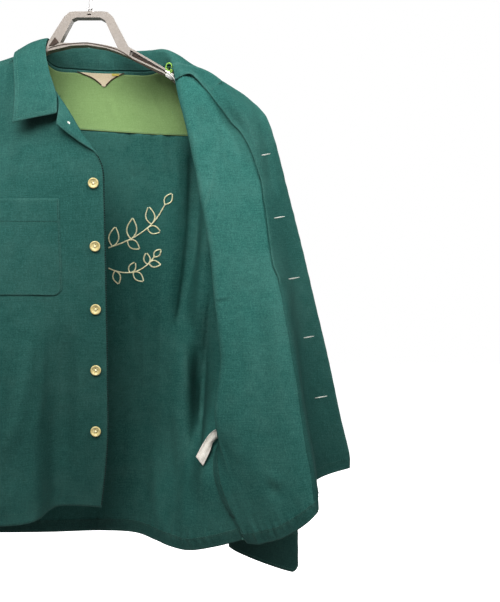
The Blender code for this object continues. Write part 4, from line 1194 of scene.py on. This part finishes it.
# depth | from | to | where round the tube | how it turns on the way down | half width, in radians
SLEEVE_FOLDS_RIGHT = (
    (3.0, 0.02, 0.40, 0.9, 0.9, 0.28), (-2.4, 0.04, 0.46, 1.5, 0.8, 0.26), (2.6, 0.3, 0.8, 2.2, -0.7, 0.3),
    (-2.6, 0.42, 0.92, 0.6, 0.5, 0.34), (2.2, 0.5, 0.98, 1.3, 0.3, 0.26), (3.0, 0.03, 0.5, 4.4, -0.8, 0.3),
    (-2.6, 0.1, 0.6, 5.1, -0.6, 0.3), (2.4, 0.4, 0.95, 4.9, 0.6, 0.3), (-2.2, 0.55, 0.98, 4.2, 0.3, 0.26),
)
SLEEVE_FOLDS_LEFT = (
    (2.6, 0.03, 0.42, 1.0, 0.7, 0.28), (-2.4, 0.06, 0.5, 1.7, 0.7, 0.28), (2.4, 0.34, 0.84, 2.0, -0.6, 0.3),
    (-2.4, 0.45, 0.95, 0.8, 0.4, 0.3), (3.0, 0.02, 0.48, 4.2, -0.7, 0.3), (-2.6, 0.08, 0.6, 4.9, -0.5, 0.28),
    (2.6, 0.38, 0.95, 5.2, -0.4, 0.3), (-2.2, 0.5, 0.97, 4.4, 0.4, 0.24), (2.0, 0.62, 0.99, 3.6, 0.3, 0.24),
)
tube_right, cuff_right, sleeve_cloth_right, cuff_cloth_right = sleeve(
    "right", SIDE_RIGHT, YOKE_NET[0], SLEEVE_RIGHT, -1, SLEEVE_FOLDS_RIGHT)
tube_left, cuff_left, sleeve_cloth_left, cuff_cloth_left = sleeve(
    "left", SIDE_LEFT, YOKE_NET[-1], SLEEVE_LEFT, 1, SLEEVE_FOLDS_LEFT)

# breast pockets
POCKET_LIFT = HALF + 2 * AIR + LAYER
POCKET_CORNER = 13.0
pocket_right = patch(right, right_us, right_vs, (1.8, 4.25), (5.0, 6.78), POCKET_LIFT, POCKET_CORNER)
pocket_right.uneven(30.0, 0.25, 6, 8.0)
pocket_right.measure()
pocket_cloth_right = shell("pocket_patch_right", pocket_right, LAYER, GREEN, "pocket_right")
pocket_left = patch(left, left_us, left_vs, (5.0, 7.0), (3.0, 4.92), POCKET_LIFT, POCKET_CORNER)
pocket_left.measure()
pocket_cloth_left = shell("pocket_patch_left", pocket_left, LAYER, GREEN, "pocket_left")

# ---------------------------------------------------------------- turned-up hems and felled seams
INSIDE = -1  # on every body panel the wearer's side is against the panel's own normal


def layer_on(panel, i, j, lift):
    """A second layer over part of a panel's inside, its own normals pointing away from that panel."""
    points, n = panel.at(i, j, INSIDE * lift)
    return Panel(points).faced(INSIDE * n)


def from_edge(panel, edge, distances, lines):
    """Fractional places at set distances from an edge, on the given rows or columns."""
    return np.array([[panel.crossing(edge, k, d) for k in lines] for d in distances])


SEWN_GAP = 0.08  # between a turned-up layer and the panel


def hem(name, panel, depth, columns, seed):
    """Cloth turned up inside the lower edge and sewn down, puckered along its sewn side."""
    deep = depth * np.array([0.03, 0.1, 0.22, 0.36, 0.5, 0.64, 0.78, 0.88, 0.95, 1.0])
    i = from_edge(panel, "bottom", deep, columns)
    turned = layer_on(panel, i, np.broadcast_to(columns, i.shape), HALF + SEWN_GAP + LAYER)
    run = turned.left
    wave = np.sin(run * 0.55 + seed + 1.6 * np.sin(run / 23)) + 0.6 * np.sin(run * 0.91 + 2 * seed)
    middle = np.exp(-(((deep[:, None] - depth * 0.6) / (depth * 0.3)) ** 2))
    turned.move(0.5 * np.clip(wave + 0.8, 0, 2) * middle)
    turned.measure()
    return turned, shell(name, turned, LAYER, GREEN, ())


def felled(name, panel, edge, low, high, width=9.0):
    """A felled side seam: the lapped cloth stands proud and is sewn down twice."""
    rows = np.arange(int(low * panel.grid.shape[0]), int(high * (panel.grid.shape[0] - 1)) + 1)
    j = from_edge(panel, edge, np.array([0.2, 0.9, 2.6, 4.5, 6.4, 8.1, 9.0]) * width / 9, rows).T
    band = layer_on(panel, np.broadcast_to(rows[:, None], j.shape), j, HALF + SEWN_GAP + LAYER * 0.8)
    band.move(0.2 * np.clip(np.sin(band.top * 0.5 + np.sin(band.top / 31)) + 0.4, 0, 2) * (band.left > 1))
    band.measure()
    return band, shell(name, band, LAYER * 0.8, GREEN, ())


def sewn(name, rows, finish=GREEN_THREAD, **more):
    """One mesh of all the stitch rows given as (points, normals)."""
    work = Stitching()
    for points, ns in rows:
        work.row(points, ns, **more)
    return work.made(name, finish, "green_cloth")


OUT, TOP = HALF + 0.02, LAYER + 0.02  # just above a panel's face, and above a turned layer's
back_columns, right_columns = np.arange(back.grid.shape[1]), np.flatnonzero(right_us <= 4.02)
left_columns = np.flatnonzero(left_us <= 6.02)
back_hem, back_hem_cloth = hem("back_hem", back, 18.0, back_columns, 1.0)
right_hem, right_hem_cloth = hem("right_front_hem", right, 16.0, right_columns, 2.0)
left_hem, left_hem_cloth = hem("left_front_hem", left, 17.5, left_columns, 3.0)
left_band, left_band_cloth = felled("left_side_seam", left, "left", 0.5, 0.975)
right_band, right_band_cloth = felled("right_side_seam", right, "left", 0.5, 0.975)


def hem_rows(turned, panel, height, end=0.985):
    """Two rows through a turned-up hem, and the row that shows on the panel's other side."""
    return (turned.inset("bottom", 0.3, TOP), turned.inset("bottom", 2.2, TOP),
            panel.inset("bottom", height, OUT, 0.005, end))


FINE, LAID = {"radius": 0.38}, {"length": 3.2, "gap": 0.1, "radius": 0.95}
# the hem, seam and edge rows are in the darker thread, whose colour paints the shade of their grooves
stitches_back = sewn("stitches_back", (
    *hem_rows(back_hem, back, 17.0, 0.995), back.inset("top", 2.2, OUT, 0.01, 0.99)), GROOVE_SHADE_THREAD, **FINE)
stitches_right = sewn("stitches_right_front", (
    *hem_rows(right_hem, right, 14.5), right_band.inset("left", 1.6, TOP),
    right_band.inset("right", 1.2, TOP), right.inset("right", 1.5, OUT, 0.17, 0.995),
    right_facing.inset("bottom", 14.5, 0.02, 0.03, 0.97)), GROOVE_SHADE_THREAD, **FINE)
# near-black stitches on the right front's opening rim: painted shadow of the gap between that edge and the
# back
opening_shadow_stitches = sewn("opening_edge_painted_shadow", (right.inset("right", 0.15, 0.1, 0.17, 0.995),), OPENING_SHADOW_THREAD,
                        **LAID)
stitches_left = sewn("stitches_left_front", (
    *hem_rows(left_hem, left, 16.0), left_band.inset("left", 0.3, TOP), left_band.inset("right", 0.3, TOP),
    left_facing.inset("bottom", 16.0, 0.02, 0.03, 0.97)), GROOVE_SHADE_THREAD, **FINE)
stitches_yoke = sewn("stitches_yoke", (
    yoke.inset("top", 2.0, OUT, 0.005, 0.36), yoke.inset("top", 2.0, OUT, 0.80, 0.995),
    yoke.inset("bottom", 2.0, OUT, 0.005, 0.995), yoke.inset("bottom", 8.0, OUT, 0.005, 0.995)))
stitches_lining = sewn("stitches_lining", (inner.inset("bottom", 1.8, lining_low - 0.02, 0.005, 0.995),))
collar_rows = []
for edge, start in (("bottom", 0.01), ("left", 0.45), ("right", 0.45)):
    for sign in (-1, 1):  # on both faces
        points, ns = collar.inset(edge, 5.5, sign * (COLLAR_HALF + 0.02), start, 0.99)
        collar_rows.append((points, ns * sign))
stitches_collar = sewn("stitches_collar", collar_rows)
# the pockets' stitches are in the darker thread: painted shade along the pockets' edges
for label, pocket in (("right", pocket_right), ("left", pocket_left)):
    sewn("stitches_pocket_" + label, (
        pocket.inset("left", 2.0, TOP, 0.0, 0.95), pocket.inset("right", 2.0, TOP, 0.0, 0.95),
        pocket.inset("bottom", 2.0, TOP, 0.03, 0.97), pocket.inset("top", 32.0, TOP)), GROOVE_SHADE_THREAD,
        length=2.4, gap=0.5, radius=0.5)
for label, cuff, tube in (("right", cuff_right, tube_right), ("left", cuff_left, tube_left)):
    sewn("stitches_sleeve_" + label, (
        cuff.inset("top", 3.0, 0.92), cuff.inset("bottom", 4.0, 0.92), tube.inset("top", 3.0, OUT)))

# ---------------------------------------------------------------- buttonholes
# where each is seen, and how long it looks, in px
HOLES_SEEN = ((266, 154.5, 9), (279.4, 217.3, 11), (293.9, 278.2, 11), (308.7, 337, 10.5), (321.2, 397, 12.5))
HOLE_DENSE, HOLE_SLOPE = 0.9, -0.17  # between its stitches, and its fall across the image
HOLE_THROUGH = 2 * HALF + 2 * LAYER + 0.7
work = Stitching()
for px, py, long in HOLES_SEEN:
    share = np.linspace(-0.5, 0.5, 9)[:, None]
    line, ns = left_facing.at(*left_facing.under((px, py) + share * (long, HOLE_SLOPE * long)), 0.12)
    run = run_of(line)
    s = np.arange(0, run[-1], HOLE_DENSE)
    middle, n = read_at(s, run, line), read_at(s, run, ns)
    across = np.cross(n, unit(np.gradient(middle, axis=0)))
    reach = (0.25 + 0.55 * np.sqrt(np.maximum(1 - (2 * s / run[-1] - 1) ** 2, 0)))[:, None]
    for face, depth in ((1, 0.0), (-1, -HOLE_THROUGH)):
        centre = middle + n * depth
        for side in (-1, 1):
            work.lay(centre + across * side * 0.12, centre + across * side * reach, n * face, 0.42, 0.3)
buttonholes = work.made("buttonholes", WHITE_THREAD, "green_cloth")

# ---------------------------------------------------------------- embroidery: plain leafy sprigs on the back
# branch in px, and its leaves: share of the way, turn in degrees, length and half width in px
SPRIGS = (
    (((108, 248), (122, 243), (138, 235), (154, 222), (166, 203)),
     ((0.1, -64, 20, 5.0), (0.34, 60, 15, 4.2), (0.4, -58, 21, 5.0), (0.66, 56, 14, 4.0),
      (0.72, -54, 18, 4.6), (1.0, 4, 13, 3.6))),
    (((108, 268), (120, 272), (134, 272), (146, 266), (155, 256)),
     ((0.16, 58, 14, 3.8), (0.44, -58, 12, 3.4), (0.5, 56, 14, 3.8), (0.8, -54, 12, 3.2),
      (0.84, 54, 12, 3.4), (1.0, 6, 10, 3.0))),
)
SPRIG_MIDDLE = 105.0  # px, where the sprigs are mirrored
STEM_POINTS = 60
# the thread's radius inside the back, where it shows, and outside, where two thin rows lie side by side
INSIDE_THREAD, OUTSIDE_THREAD, OUTSIDE_ROWS = 1.25, 0.5, (-0.55, 0.55)


def leaf(base, direction, long, wide):
    """The two sides of a leaf's outline."""
    t = np.linspace(0, 1, 15)[:, None]
    forward = np.array((math.cos(direction), math.sin(direction)))
    across = np.array((-forward[1], forward[0]))
    spine = base + forward * long * t
    bulge = wide * np.sin(math.pi * t ** 0.85)
    return [spine + across * bulge, spine - across * bulge]


lines = []
for branch, leaves in SPRIGS:
    stem = smooth(branch, np.linspace(0, len(branch) - 1, STEM_POINTS))
    lines.append(stem)
    for share, turn, long, wide in leaves:
        k = min(int(share * (STEM_POINTS - 1)), STEM_POINTS - 2)
        heading = math.atan2(*(stem[k + 1] - stem[k])[::-1])
        lines += leaf(stem[k], heading + math.radians(turn), long, wide)
lines += [line * (-1, 1) + (2 * SPRIG_MIDDLE, 0) for line in lines]
work = Stitching()
for line in lines:
    i, j = back.under(line)
    for face, rows, radius in ((-1, (0.0,), INSIDE_THREAD), (1, OUTSIDE_ROWS, OUTSIDE_THREAD)):
        points, ns = back.at(i, j, face * (HALF + 0.05))
        beside = unit(np.cross(np.gradient(points, axis=0), ns))
        for off in rows:
            work.row(points + beside * off, ns * face, length=2.3, gap=-0.25, radius=radius)
embroidery = work.made("embroidery_sprigs", CREAM_THREAD, "green_cloth")

# ---------------------------------------------------------------- labels
# on the yoke's table: from and to along the neck, and from and to down the lining
LABEL_ACROSS, LABEL_DOWN = (6.05, 8.0), (0.32, 1.45)
TAB_ACROSS, TAB_DOWN = (7.42, 7.76), (0.33, 0.62)
LABEL_LIFT = HALF + LINING_GAP + 2 * LAYER + 0.62
TAB_LIFT = LABEL_LIFT + 0.75
LABEL_TIP = 0.04  # of its width left at the point


def on_lining(us, vs, lift):
    """A layer inside the lining, at places on the yoke's table."""
    i = np.interp(vs, yoke_vs, np.arange(len(yoke_vs)))
    j = np.interp(us, yoke_us, np.arange(len(yoke_us)))
    return layer_on(yoke, *np.broadcast_arrays(i, j), lift)


down = np.linspace(0, 1, 16)[:, None]
spread = (LABEL_ACROSS[1] - LABEL_ACROSS[0]) / 2 * (1 - (1 - LABEL_TIP) * down) * np.linspace(-1, 1, 41)[None]
label = on_lining((LABEL_ACROSS[0] + LABEL_ACROSS[1]) / 2 + spread,
                  LABEL_DOWN[0] + (LABEL_DOWN[1] - LABEL_DOWN[0]) * down, LABEL_LIFT)
label.move(0.22 * rough(label.grid, 9.0, 21) + 0.5 * down ** 2)
label.measure()
neck_label = shell("neck_label_cloth", label, 0.28, LABEL_COTTON, "neck_label")
work = Stitching()
for edge in ("left", "right"):  # sewn over and over down both slanted edges
    line, ns = label.inset(edge, 0.0, 0.2, 0.02, 0.98)
    run = run_of(line)
    at = np.arange(0, run[-1], 0.5)
    a, up = read_at(at, run, line), read_at(at, run, ns)
    inward = unit(np.cross(np.gradient(a, axis=0), up))
    if (inward[len(a) // 2][0] > 0) != (edge == "left"):
        inward = -inward
    work.lay(a - inward * 0.5, a + inward * 1.5, up, 0.34, 0.3)
label_border = work.made("neck_label_border", BROWN_THREAD, "label_cream")
tab = on_lining(np.linspace(*TAB_ACROSS, 9)[None], np.linspace(*TAB_DOWN, 7)[:, None], TAB_LIFT)
label_tab = shell("neck_label_tab_cloth", tab, 0.25, YELLOW_TAB, "neck_label_tab")

# the care label's two long edges, from the side seam to its free end
CARE = (((196.8, -11.8, -674), (191.7, -14.7, -685.3)), ((181, -25, -677), (184, -28, -692)),
        ((169.5, -34, -691), (178, -37, -705)), ((158.5, -38, -711), (168.5, -41, -723)))
care = Panel(net_grid(np.array(CARE, float), np.linspace(0, 1, 13), np.linspace(0, 3, 34)))
ripple = 0.9 * np.sin(care.left / 2.1) * ease(care.top / 10)
care.move(1.3 * rough(care.grid, 13.0, 31) * ease(care.top / 8) + ripple)
care.measure()
care_label = shell("care_label_cloth", care, 0.25, LABEL_SATIN, "care_label")
care_stitches = sewn("care_label_stitches", (care.inset("left", 1.4, 0.27), care.inset("right", 1.4, 0.27)),
                     WHITE_THREAD, length=1.8, radius=0.2)

# ---------------------------------------------------------------- buttons
BUTTON_THICK = 3.0
# radius and height of a button's outline, from the middle of its face round the rim to its back
BUTTON_LINE = ((0.4, 1.25), (2.6, 1.3), (4.2, 1.5), (4.9, 1.95), (5.3, 2.6), (5.8, 2.95), (6.5, 3.0),
               (7.1, 2.75), (7.45, 2.2), (7.5, 1.5), (7.3, 0.8), (6.6, 0.3), (4.5, 0.1), (0.4, 0.05))
THREAD_HOLES = ((1.45, 1.45), (-1.45, 1.45), (-1.45, -1.45), (1.45, -1.45))
DRILL = 0.78
CROSSED = ((0, 1.35), (1, 1.7))  # the hole that each band of threads starts at, and its height
SHANK, SHANK_TURN = 0.9, 0.5  # radius, and how far its threads twist


def skin(b, rings):
    """Joins rings of points into a closed body."""
    sides = len(rings[0])
    for upper, lower in zip(rings, rings[1:]):
        for k in range(sides):
            b.faces.new((upper[k], lower[k], lower[(k + 1) % sides], upper[(k + 1) % sides]))
    b.faces.new(rings[0])
    b.faces.new(rings[-1][::-1])
    bmesh.ops.recalc_face_normals(b, faces=b.faces)
    return b


def lathe(line, sides=48):
    """Closed round body from a line of (radius, height)."""
    b = bmesh.new()
    angles = [2 * math.pi * k / sides for k in range(sides)]
    return skin(b, [[b.verts.new((r * math.cos(a), r * math.sin(a), h)) for a in angles] for r, h in line])


def made_of(b, name, finish):
    """An object from a body that has been worked on."""
    mesh = bpy.data.meshes.new(name)
    b.to_mesh(mesh)
    b.free()
    return placed(name, finished(mesh, finish))


def drilled_button():
    """The turned blank with its four holes drilled through."""
    blank = made_of(lathe(BUTTON_LINE), "button_blank", BUTTON_HORN)
    drills = bmesh.new()
    for x, y in THREAD_HOLES:
        bmesh.ops.create_cone(drills, cap_ends=True, segments=16, radius1=DRILL, radius2=DRILL, depth=12,
                              matrix=Matrix.Translation((x, y, 1.0)))
    drill = made_of(drills, "button_drill", BUTTON_HORN)
    cut = blank.modifiers.new("holes", "BOOLEAN")
    cut.object, cut.solver = drill, "EXACT"
    graph = bpy.context.evaluated_depsgraph_get()
    mesh = bpy.data.meshes.new_from_object(blank.evaluated_get(graph))
    for obj in (blank, drill):
        bpy.data.objects.remove(obj)
    return mesh


BUTTON_MESH = drilled_button()
button_thread = Stitching()


def button(node, turn_about, facing):
    """A four-hole button in the place of its CAD node, and the thread that holds it."""
    low, high = (np.array(c) * 1000 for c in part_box(node))
    mesh = BUTTON_MESH.copy()
    turn = Vector(facing).to_track_quat("Z", "Y").to_matrix() @ Matrix.Rotation(turn_about, 3, "Z")
    centre = Vector((low + high) / 2) - Vector(facing) * (BUTTON_THICK / 2)
    mesh.transform(Matrix.Translation(centre * MM) @ turn.to_4x4() @ Matrix.Scale(MM, 4))
    settle(placed(node + "_horn", mesh), node)

    def place(x, y, z):
        return np.array(centre + turn @ Vector((x, y, z)))

    for k, height in CROSSED:
        start, end = np.array(THREAD_HOLES[k]), np.array(THREAD_HOLES[k + 2])
        across = np.array((start[1] - end[1], end[0] - start[0])) / math.hypot(*(end - start))
        for off in (-0.3, 0.0, 0.3):
            ends = ([place(*(hole + across * off), height)] for hole in (start, end))
            button_thread.lay(*ends, [np.array(facing)], 0.27, 0.7)
    for a in np.linspace(0, 2 * math.pi, 10)[:-1]:
        foot, head = ((SHANK * math.cos(b), SHANK * math.sin(b)) for b in (a, a + SHANK_TURN))
        out = place(math.cos(a), math.sin(a), 0) - place(0, 0, 0)
        button_thread.lay([place(*foot, -0.75)], [place(*head, 0.4)], [out], 0.3, 0.0)


BUTTON_FACINGS = {}
for k in range(5):
    name = "button_%d" % (k + 1)
    low, high = (np.array(c) * 1000 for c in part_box(name))
    i, j = right.under([seen((low + high)[None] / 2)[0]])
    BUTTON_FACINGS[name] = tuple(right.at(i, j)[1][0])
for name in ("cuff_button_right", "cuff_button_left"):
    BUTTON_FACINGS[name] = (0.0, 1.0, 0.0)
for k, (name, out) in enumerate(BUTTON_FACINGS.items()):
    button(name, 0.5 + 1.7 * k, out)
button_thread.made("button_threads", CREAM_THREAD, "button")

# a few white stitches that tack the lapel, and a green bar tack where the left side seam meets the hem
LAPEL_TACK, LAPEL_TACK_LONG = (69, 122.5), 4.5  # where it is seen, in px, and its length
work = Stitching()
i, j = right_facing.under([LAPEL_TACK])
spot, n = (x[0] for x in right_facing.at(i, j, 0.1))
for k in range(5):
    start = spot + ((k - 2) * 0.75, 0, LAPEL_TACK_LONG / 2 - 0.4 * k)
    work.lay([start], [start - (0.7, 0, LAPEL_TACK_LONG)], [n], 0.36, 0.6)
lapel_tack = work.made("lapel_tack", WHITE_THREAD, "green_cloth")
work = Stitching()
spot, n = (x[0] for x in left_hem.at([2], [3], 0.4 + LAYER))  # near the hem's corner at the seam
for k in range(8):
    start = spot + (0.55 * k - 2, 0, 2.0)
    work.lay([start], [start - (0, 0, 4.0)], [n], 0.3, 0.3)
hem_tack = work.made("hem_tack", GREEN_THREAD, "green_cloth")

# ---------------------------------------------------------------- hanger
for node, finish in (("hanger_body", HANGER_PLASTIC), ("hanger_pad", GRIP_FELT_AND_SHADE)):
    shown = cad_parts[node]
    shown.data.materials.clear()
    shown.data.materials.append(finish)
    edge = shown.modifiers.new("round", "BEVEL")
    edge.width, edge.segments, edge.limit_method, edge.angle_limit = 0.9 * MM, 3, "ANGLE", math.radians(40)
    edge.harden_normals = False

HOOK = ((0, -61.6), (0, -52), (0, -46), (5, -38), (13, -30.5), (18.2, -22), (18.6, -13), (12.8, -3), (0, 2.1),
        (-12.8, -3), (-18.6, -13), (-18.2, -22))


CAP = np.array([0.15, 0.5, 0.9]) * math.pi / 2  # angles of the rings that round a rod's end


def rod(name, path, radius, finish, replaces=(), sides=20, step=1.2, y=0.0):
    """A round wire along a path of (x, z) or (x, y, z), with rounded ends."""
    p = np.array([(q[0], y, q[1]) if len(q) == 2 else q for q in path], float)
    line = smooth(p, even(p, step, 3.0))
    ahead = unit(np.gradient(line, axis=0))
    reach = radius * np.cos(CAP)
    first, last = line[:1] - ahead[:1] * reach[:, None], line[-1:] + ahead[-1:] * reach[::-1, None]
    size = np.concatenate([radius * np.sin(CAP), np.full(len(line), radius), radius * np.sin(CAP)[::-1]])
    line = np.concatenate([first, line, last])
    ahead = np.concatenate([np.repeat(ahead[:1], 3, 0), ahead, np.repeat(ahead[-1:], 3, 0)])
    b = bmesh.new()
    angles = [2 * math.pi * k / sides for k in range(sides)]
    side = np.array((0.0, 1.0, 0.0)) if abs(ahead[0][1]) < 0.8 else np.array((1.0, 0.0, 0.0))
    rings = []
    for c, t, r in zip(line, ahead, size):
        side = unit(side - t * (side @ t))
        other = np.cross(t, side)
        rings.append([b.verts.new((c + r * (math.cos(a) * side + math.sin(a) * other)) * MM) for a in angles])
    return settle(made_of(skin(b, rings), name, finish), replaces)


rod("hook_wire", HOOK, 2.1, CHROME, "hanger_hook")
# the swivel under the hook: a turned sleeve of (radius, z), and two small prongs
SWIVEL = ((2.3, -56), (3.2, -56.3), (3.6, -57.2), (3.6, -59.6), (5.0, -60.2), (5.2, -61.2), (2.4, -61.6))
settle(made_of(lathe([(r * MM, z * MM) for r, z in SWIVEL], 32), "hook_swivel", CHROME))
for side, name in ((-1, "hook_prong_right"), (1, "hook_prong_left")):
    rod(name, ((side * 4.3, -61.2), (side * 4.6, -57), (side * 4.0, -52.5)), 0.8, CHROME)

# a dark rod along the curved bar's underside, as it is seen in px, painted shade of that unlit underside; and
# a piping that closes the neck seam
BAR_SHADE_SEEN = ((50, 49.6), (60, 46.8), (71.6, 45.2), (87.8, 44.4), (107, 47.8), (120.4, 52.2), (135, 61.5),
                 (150, 69.5), (163, 76))
BAR_SHADE_Y = -5.6
bar_underside_shade = behind(np.array(BAR_SHADE_SEEN), np.zeros(len(BAR_SHADE_SEEN)))
rod("bar_underside_shade", bar_underside_shade[:, ::2], 0.9, GRIP_FELT_AND_SHADE, y=BAR_SHADE_Y)
neck_line = collar.inset("top", 0.6, 0.0, 0.02, 0.98)[0][::3]
rod("neck_piping", neck_line, 1.15, GREEN, sides=10, step=2.5)

# dark slabs laid in the channels of the arms, painted shade of the channels' webs: outlines in x and z
CHANNEL_SHADE_Y, CHANNEL_SHADE_DEEP = -2.05, -1.1
CHANNELS = (
    ("channel_shade_left_front", ((63, -122), (120, -156), (188, -197.5), (203, -209), (200, -209.5), (180, -199),
                         (140, -173.5), (108, -151.5), (61, -126))),
    ("channel_shade_right_front", ((-75, -126), (-109, -140.5), (-180, -166), (-199, -174), (-198, -176), (-180, -169),
                          (-109, -143.5), (-76, -127.5))),
)
for name, outline in CHANNELS:
    b = bmesh.new()
    face = b.faces.new([b.verts.new((x * MM, CHANNEL_SHADE_Y * MM, z * MM)) for x, z in outline])
    out = bmesh.ops.extrude_face_region(b, geom=[face])
    moved = [v for v in out["geom"] if isinstance(v, bmesh.types.BMVert)]
    bmesh.ops.translate(b, verts=moved, vec=(0, CHANNEL_SHADE_DEEP * MM, 0))
    bmesh.ops.bevel(b, geom=list(b.edges), offset=0.4 * MM, segments=2, affect="EDGES")
    bmesh.ops.recalc_face_normals(b, faces=b.faces)
    settle(made_of(b, name, GRIP_FELT_AND_SHADE))

# a pale clip on the lower rib and a loop of lime cord tied above it
CLIP_AT, CLIP_SIZE, CLIP_LEAN = (118.5, -9.2, -157.5), (13, 4.2, 9), math.radians(33)
CLIP_BAR = ((112.5, -10.5, -151.5), (116, -12.2, -154), (121, -12.2, -158.5), (126, -10.5, -164))
LIME_LOOP = ((112, -8, -146), (114, -9.6, -141), (118, -10.2, -139.5), (121, -9.6, -143), (120, -8.6, -148.5),
             (116, -8.4, -150.5), (112.5, -8.6, -147))
LIME_TAIL = ((120, -8.8, -147), (121.5, -10.4, -151), (119, -10.6, -154))
b = bmesh.new()
stand = Matrix.Translation([c * MM for c in CLIP_AT]) @ Matrix.Rotation(CLIP_LEAN, 4, "Y")
bmesh.ops.create_cube(b, size=1.0, matrix=stand @ Matrix.Diagonal((*[c * MM for c in CLIP_SIZE], 1)))
bmesh.ops.bevel(b, geom=list(b.edges), offset=1.5 * MM, segments=3, affect="EDGES")
settle(made_of(b, "arm_clip", CLIP_PLASTIC))
rod("arm_clip_bar", CLIP_BAR, 1.3, CLIP_PLASTIC)
rod("lime_loop", LIME_LOOP, 0.9, LIME_CORD)
rod("lime_tail", LIME_TAIL, 0.9, LIME_CORD)

# ---------------------------------------------------------------- camera, light, floor
camera = placed("camera", bpy.data.cameras.new("camera"))
camera.location = [c * MM for c in EYE]
camera.rotation_euler = (math.pi / 2, 0, 0)
camera.data.sensor_width = SENSOR
camera.data.lens = -EYE[1] / PIXEL * SENSOR / IMAGE_TALL
bpy.context.scene.camera = camera

FLOOR_REACH, FLOOR_HIGH = 9.0, -1.35
floor_mesh = bpy.data.meshes.new("floor")
floor_mesh.from_pydata([(x * FLOOR_REACH, y * FLOOR_REACH, FLOOR_HIGH)
                        for x, y in ((-1, -1), (1, -1), (1, 1), (-1, 1))], [], [(0, 1, 2, 3)])
floor = placed("floor", floor_mesh)
pale = Finish("pale_floor", (0.9, 0.9, 0.9), 0.9, Emission_Color=(1, 1, 1, 1), Emission_Strength=0.9)
pale.feed("Base Color", pale.blend(pale.noise(pale.place(), 1.5), (0.88, 0.88, 0.88), (0.92, 0.92, 0.92)))
floor_mesh.materials.append(pale.mat)
floor.visible_diffuse = False  # a pure white floor would light the hem from below

world = bpy.data.worlds.new("studio")
bpy.context.scene.world = world
world.use_nodes = True
# the white studio as the camera sees it, and the softer share of its light that reaches the cloth
WHITE_SEEN, WHITE_LIGHT = 1.0, 0.22
sky = world.node_tree.nodes["Background"]
sky.inputs["Color"].default_value = (1, 1, 1, 1)
ray = world.node_tree.nodes.new("ShaderNodeLightPath")
share = world.node_tree.nodes.new("ShaderNodeMapRange")
share.inputs["To Min"].default_value, share.inputs["To Max"].default_value = WHITE_LIGHT, WHITE_SEEN
world.node_tree.links.new(ray.outputs["Is Camera Ray"], share.inputs["Value"])
world.node_tree.links.new(share.outputs[0], sky.inputs["Strength"])
bpy.context.scene.view_settings.view_transform = "Standard"
bpy.context.scene.view_settings.gamma = 0.88
# place | size | power in watts | aimed at, in metres
LAMPS = (
    ("key", (-0.3, -1.2, 0.72), 1.4, 34, (0.05, 0, -0.1)),
    ("fill", (0.0, -1.5, 0.6), 1.0, 18, (0.1, 0, -0.35)),
    ("side", (1.0, -0.6, 0.35), 0.8, 15, (0.28, 0, -0.35)),
    ("rear", (0.6, 2.4, 0.6), 1.8, 40, (0, 0, -0.5)),
)
for name, place, size, power, aim in LAMPS:
    lamp = bpy.data.lights.new(name, "AREA")
    lamp.energy, lamp.size = power, size
    stand = placed(name, lamp)
    stand.location = place
    stand.rotation_euler = (Vector(aim) - Vector(place)).to_track_quat("-Z", "Y").to_euler()
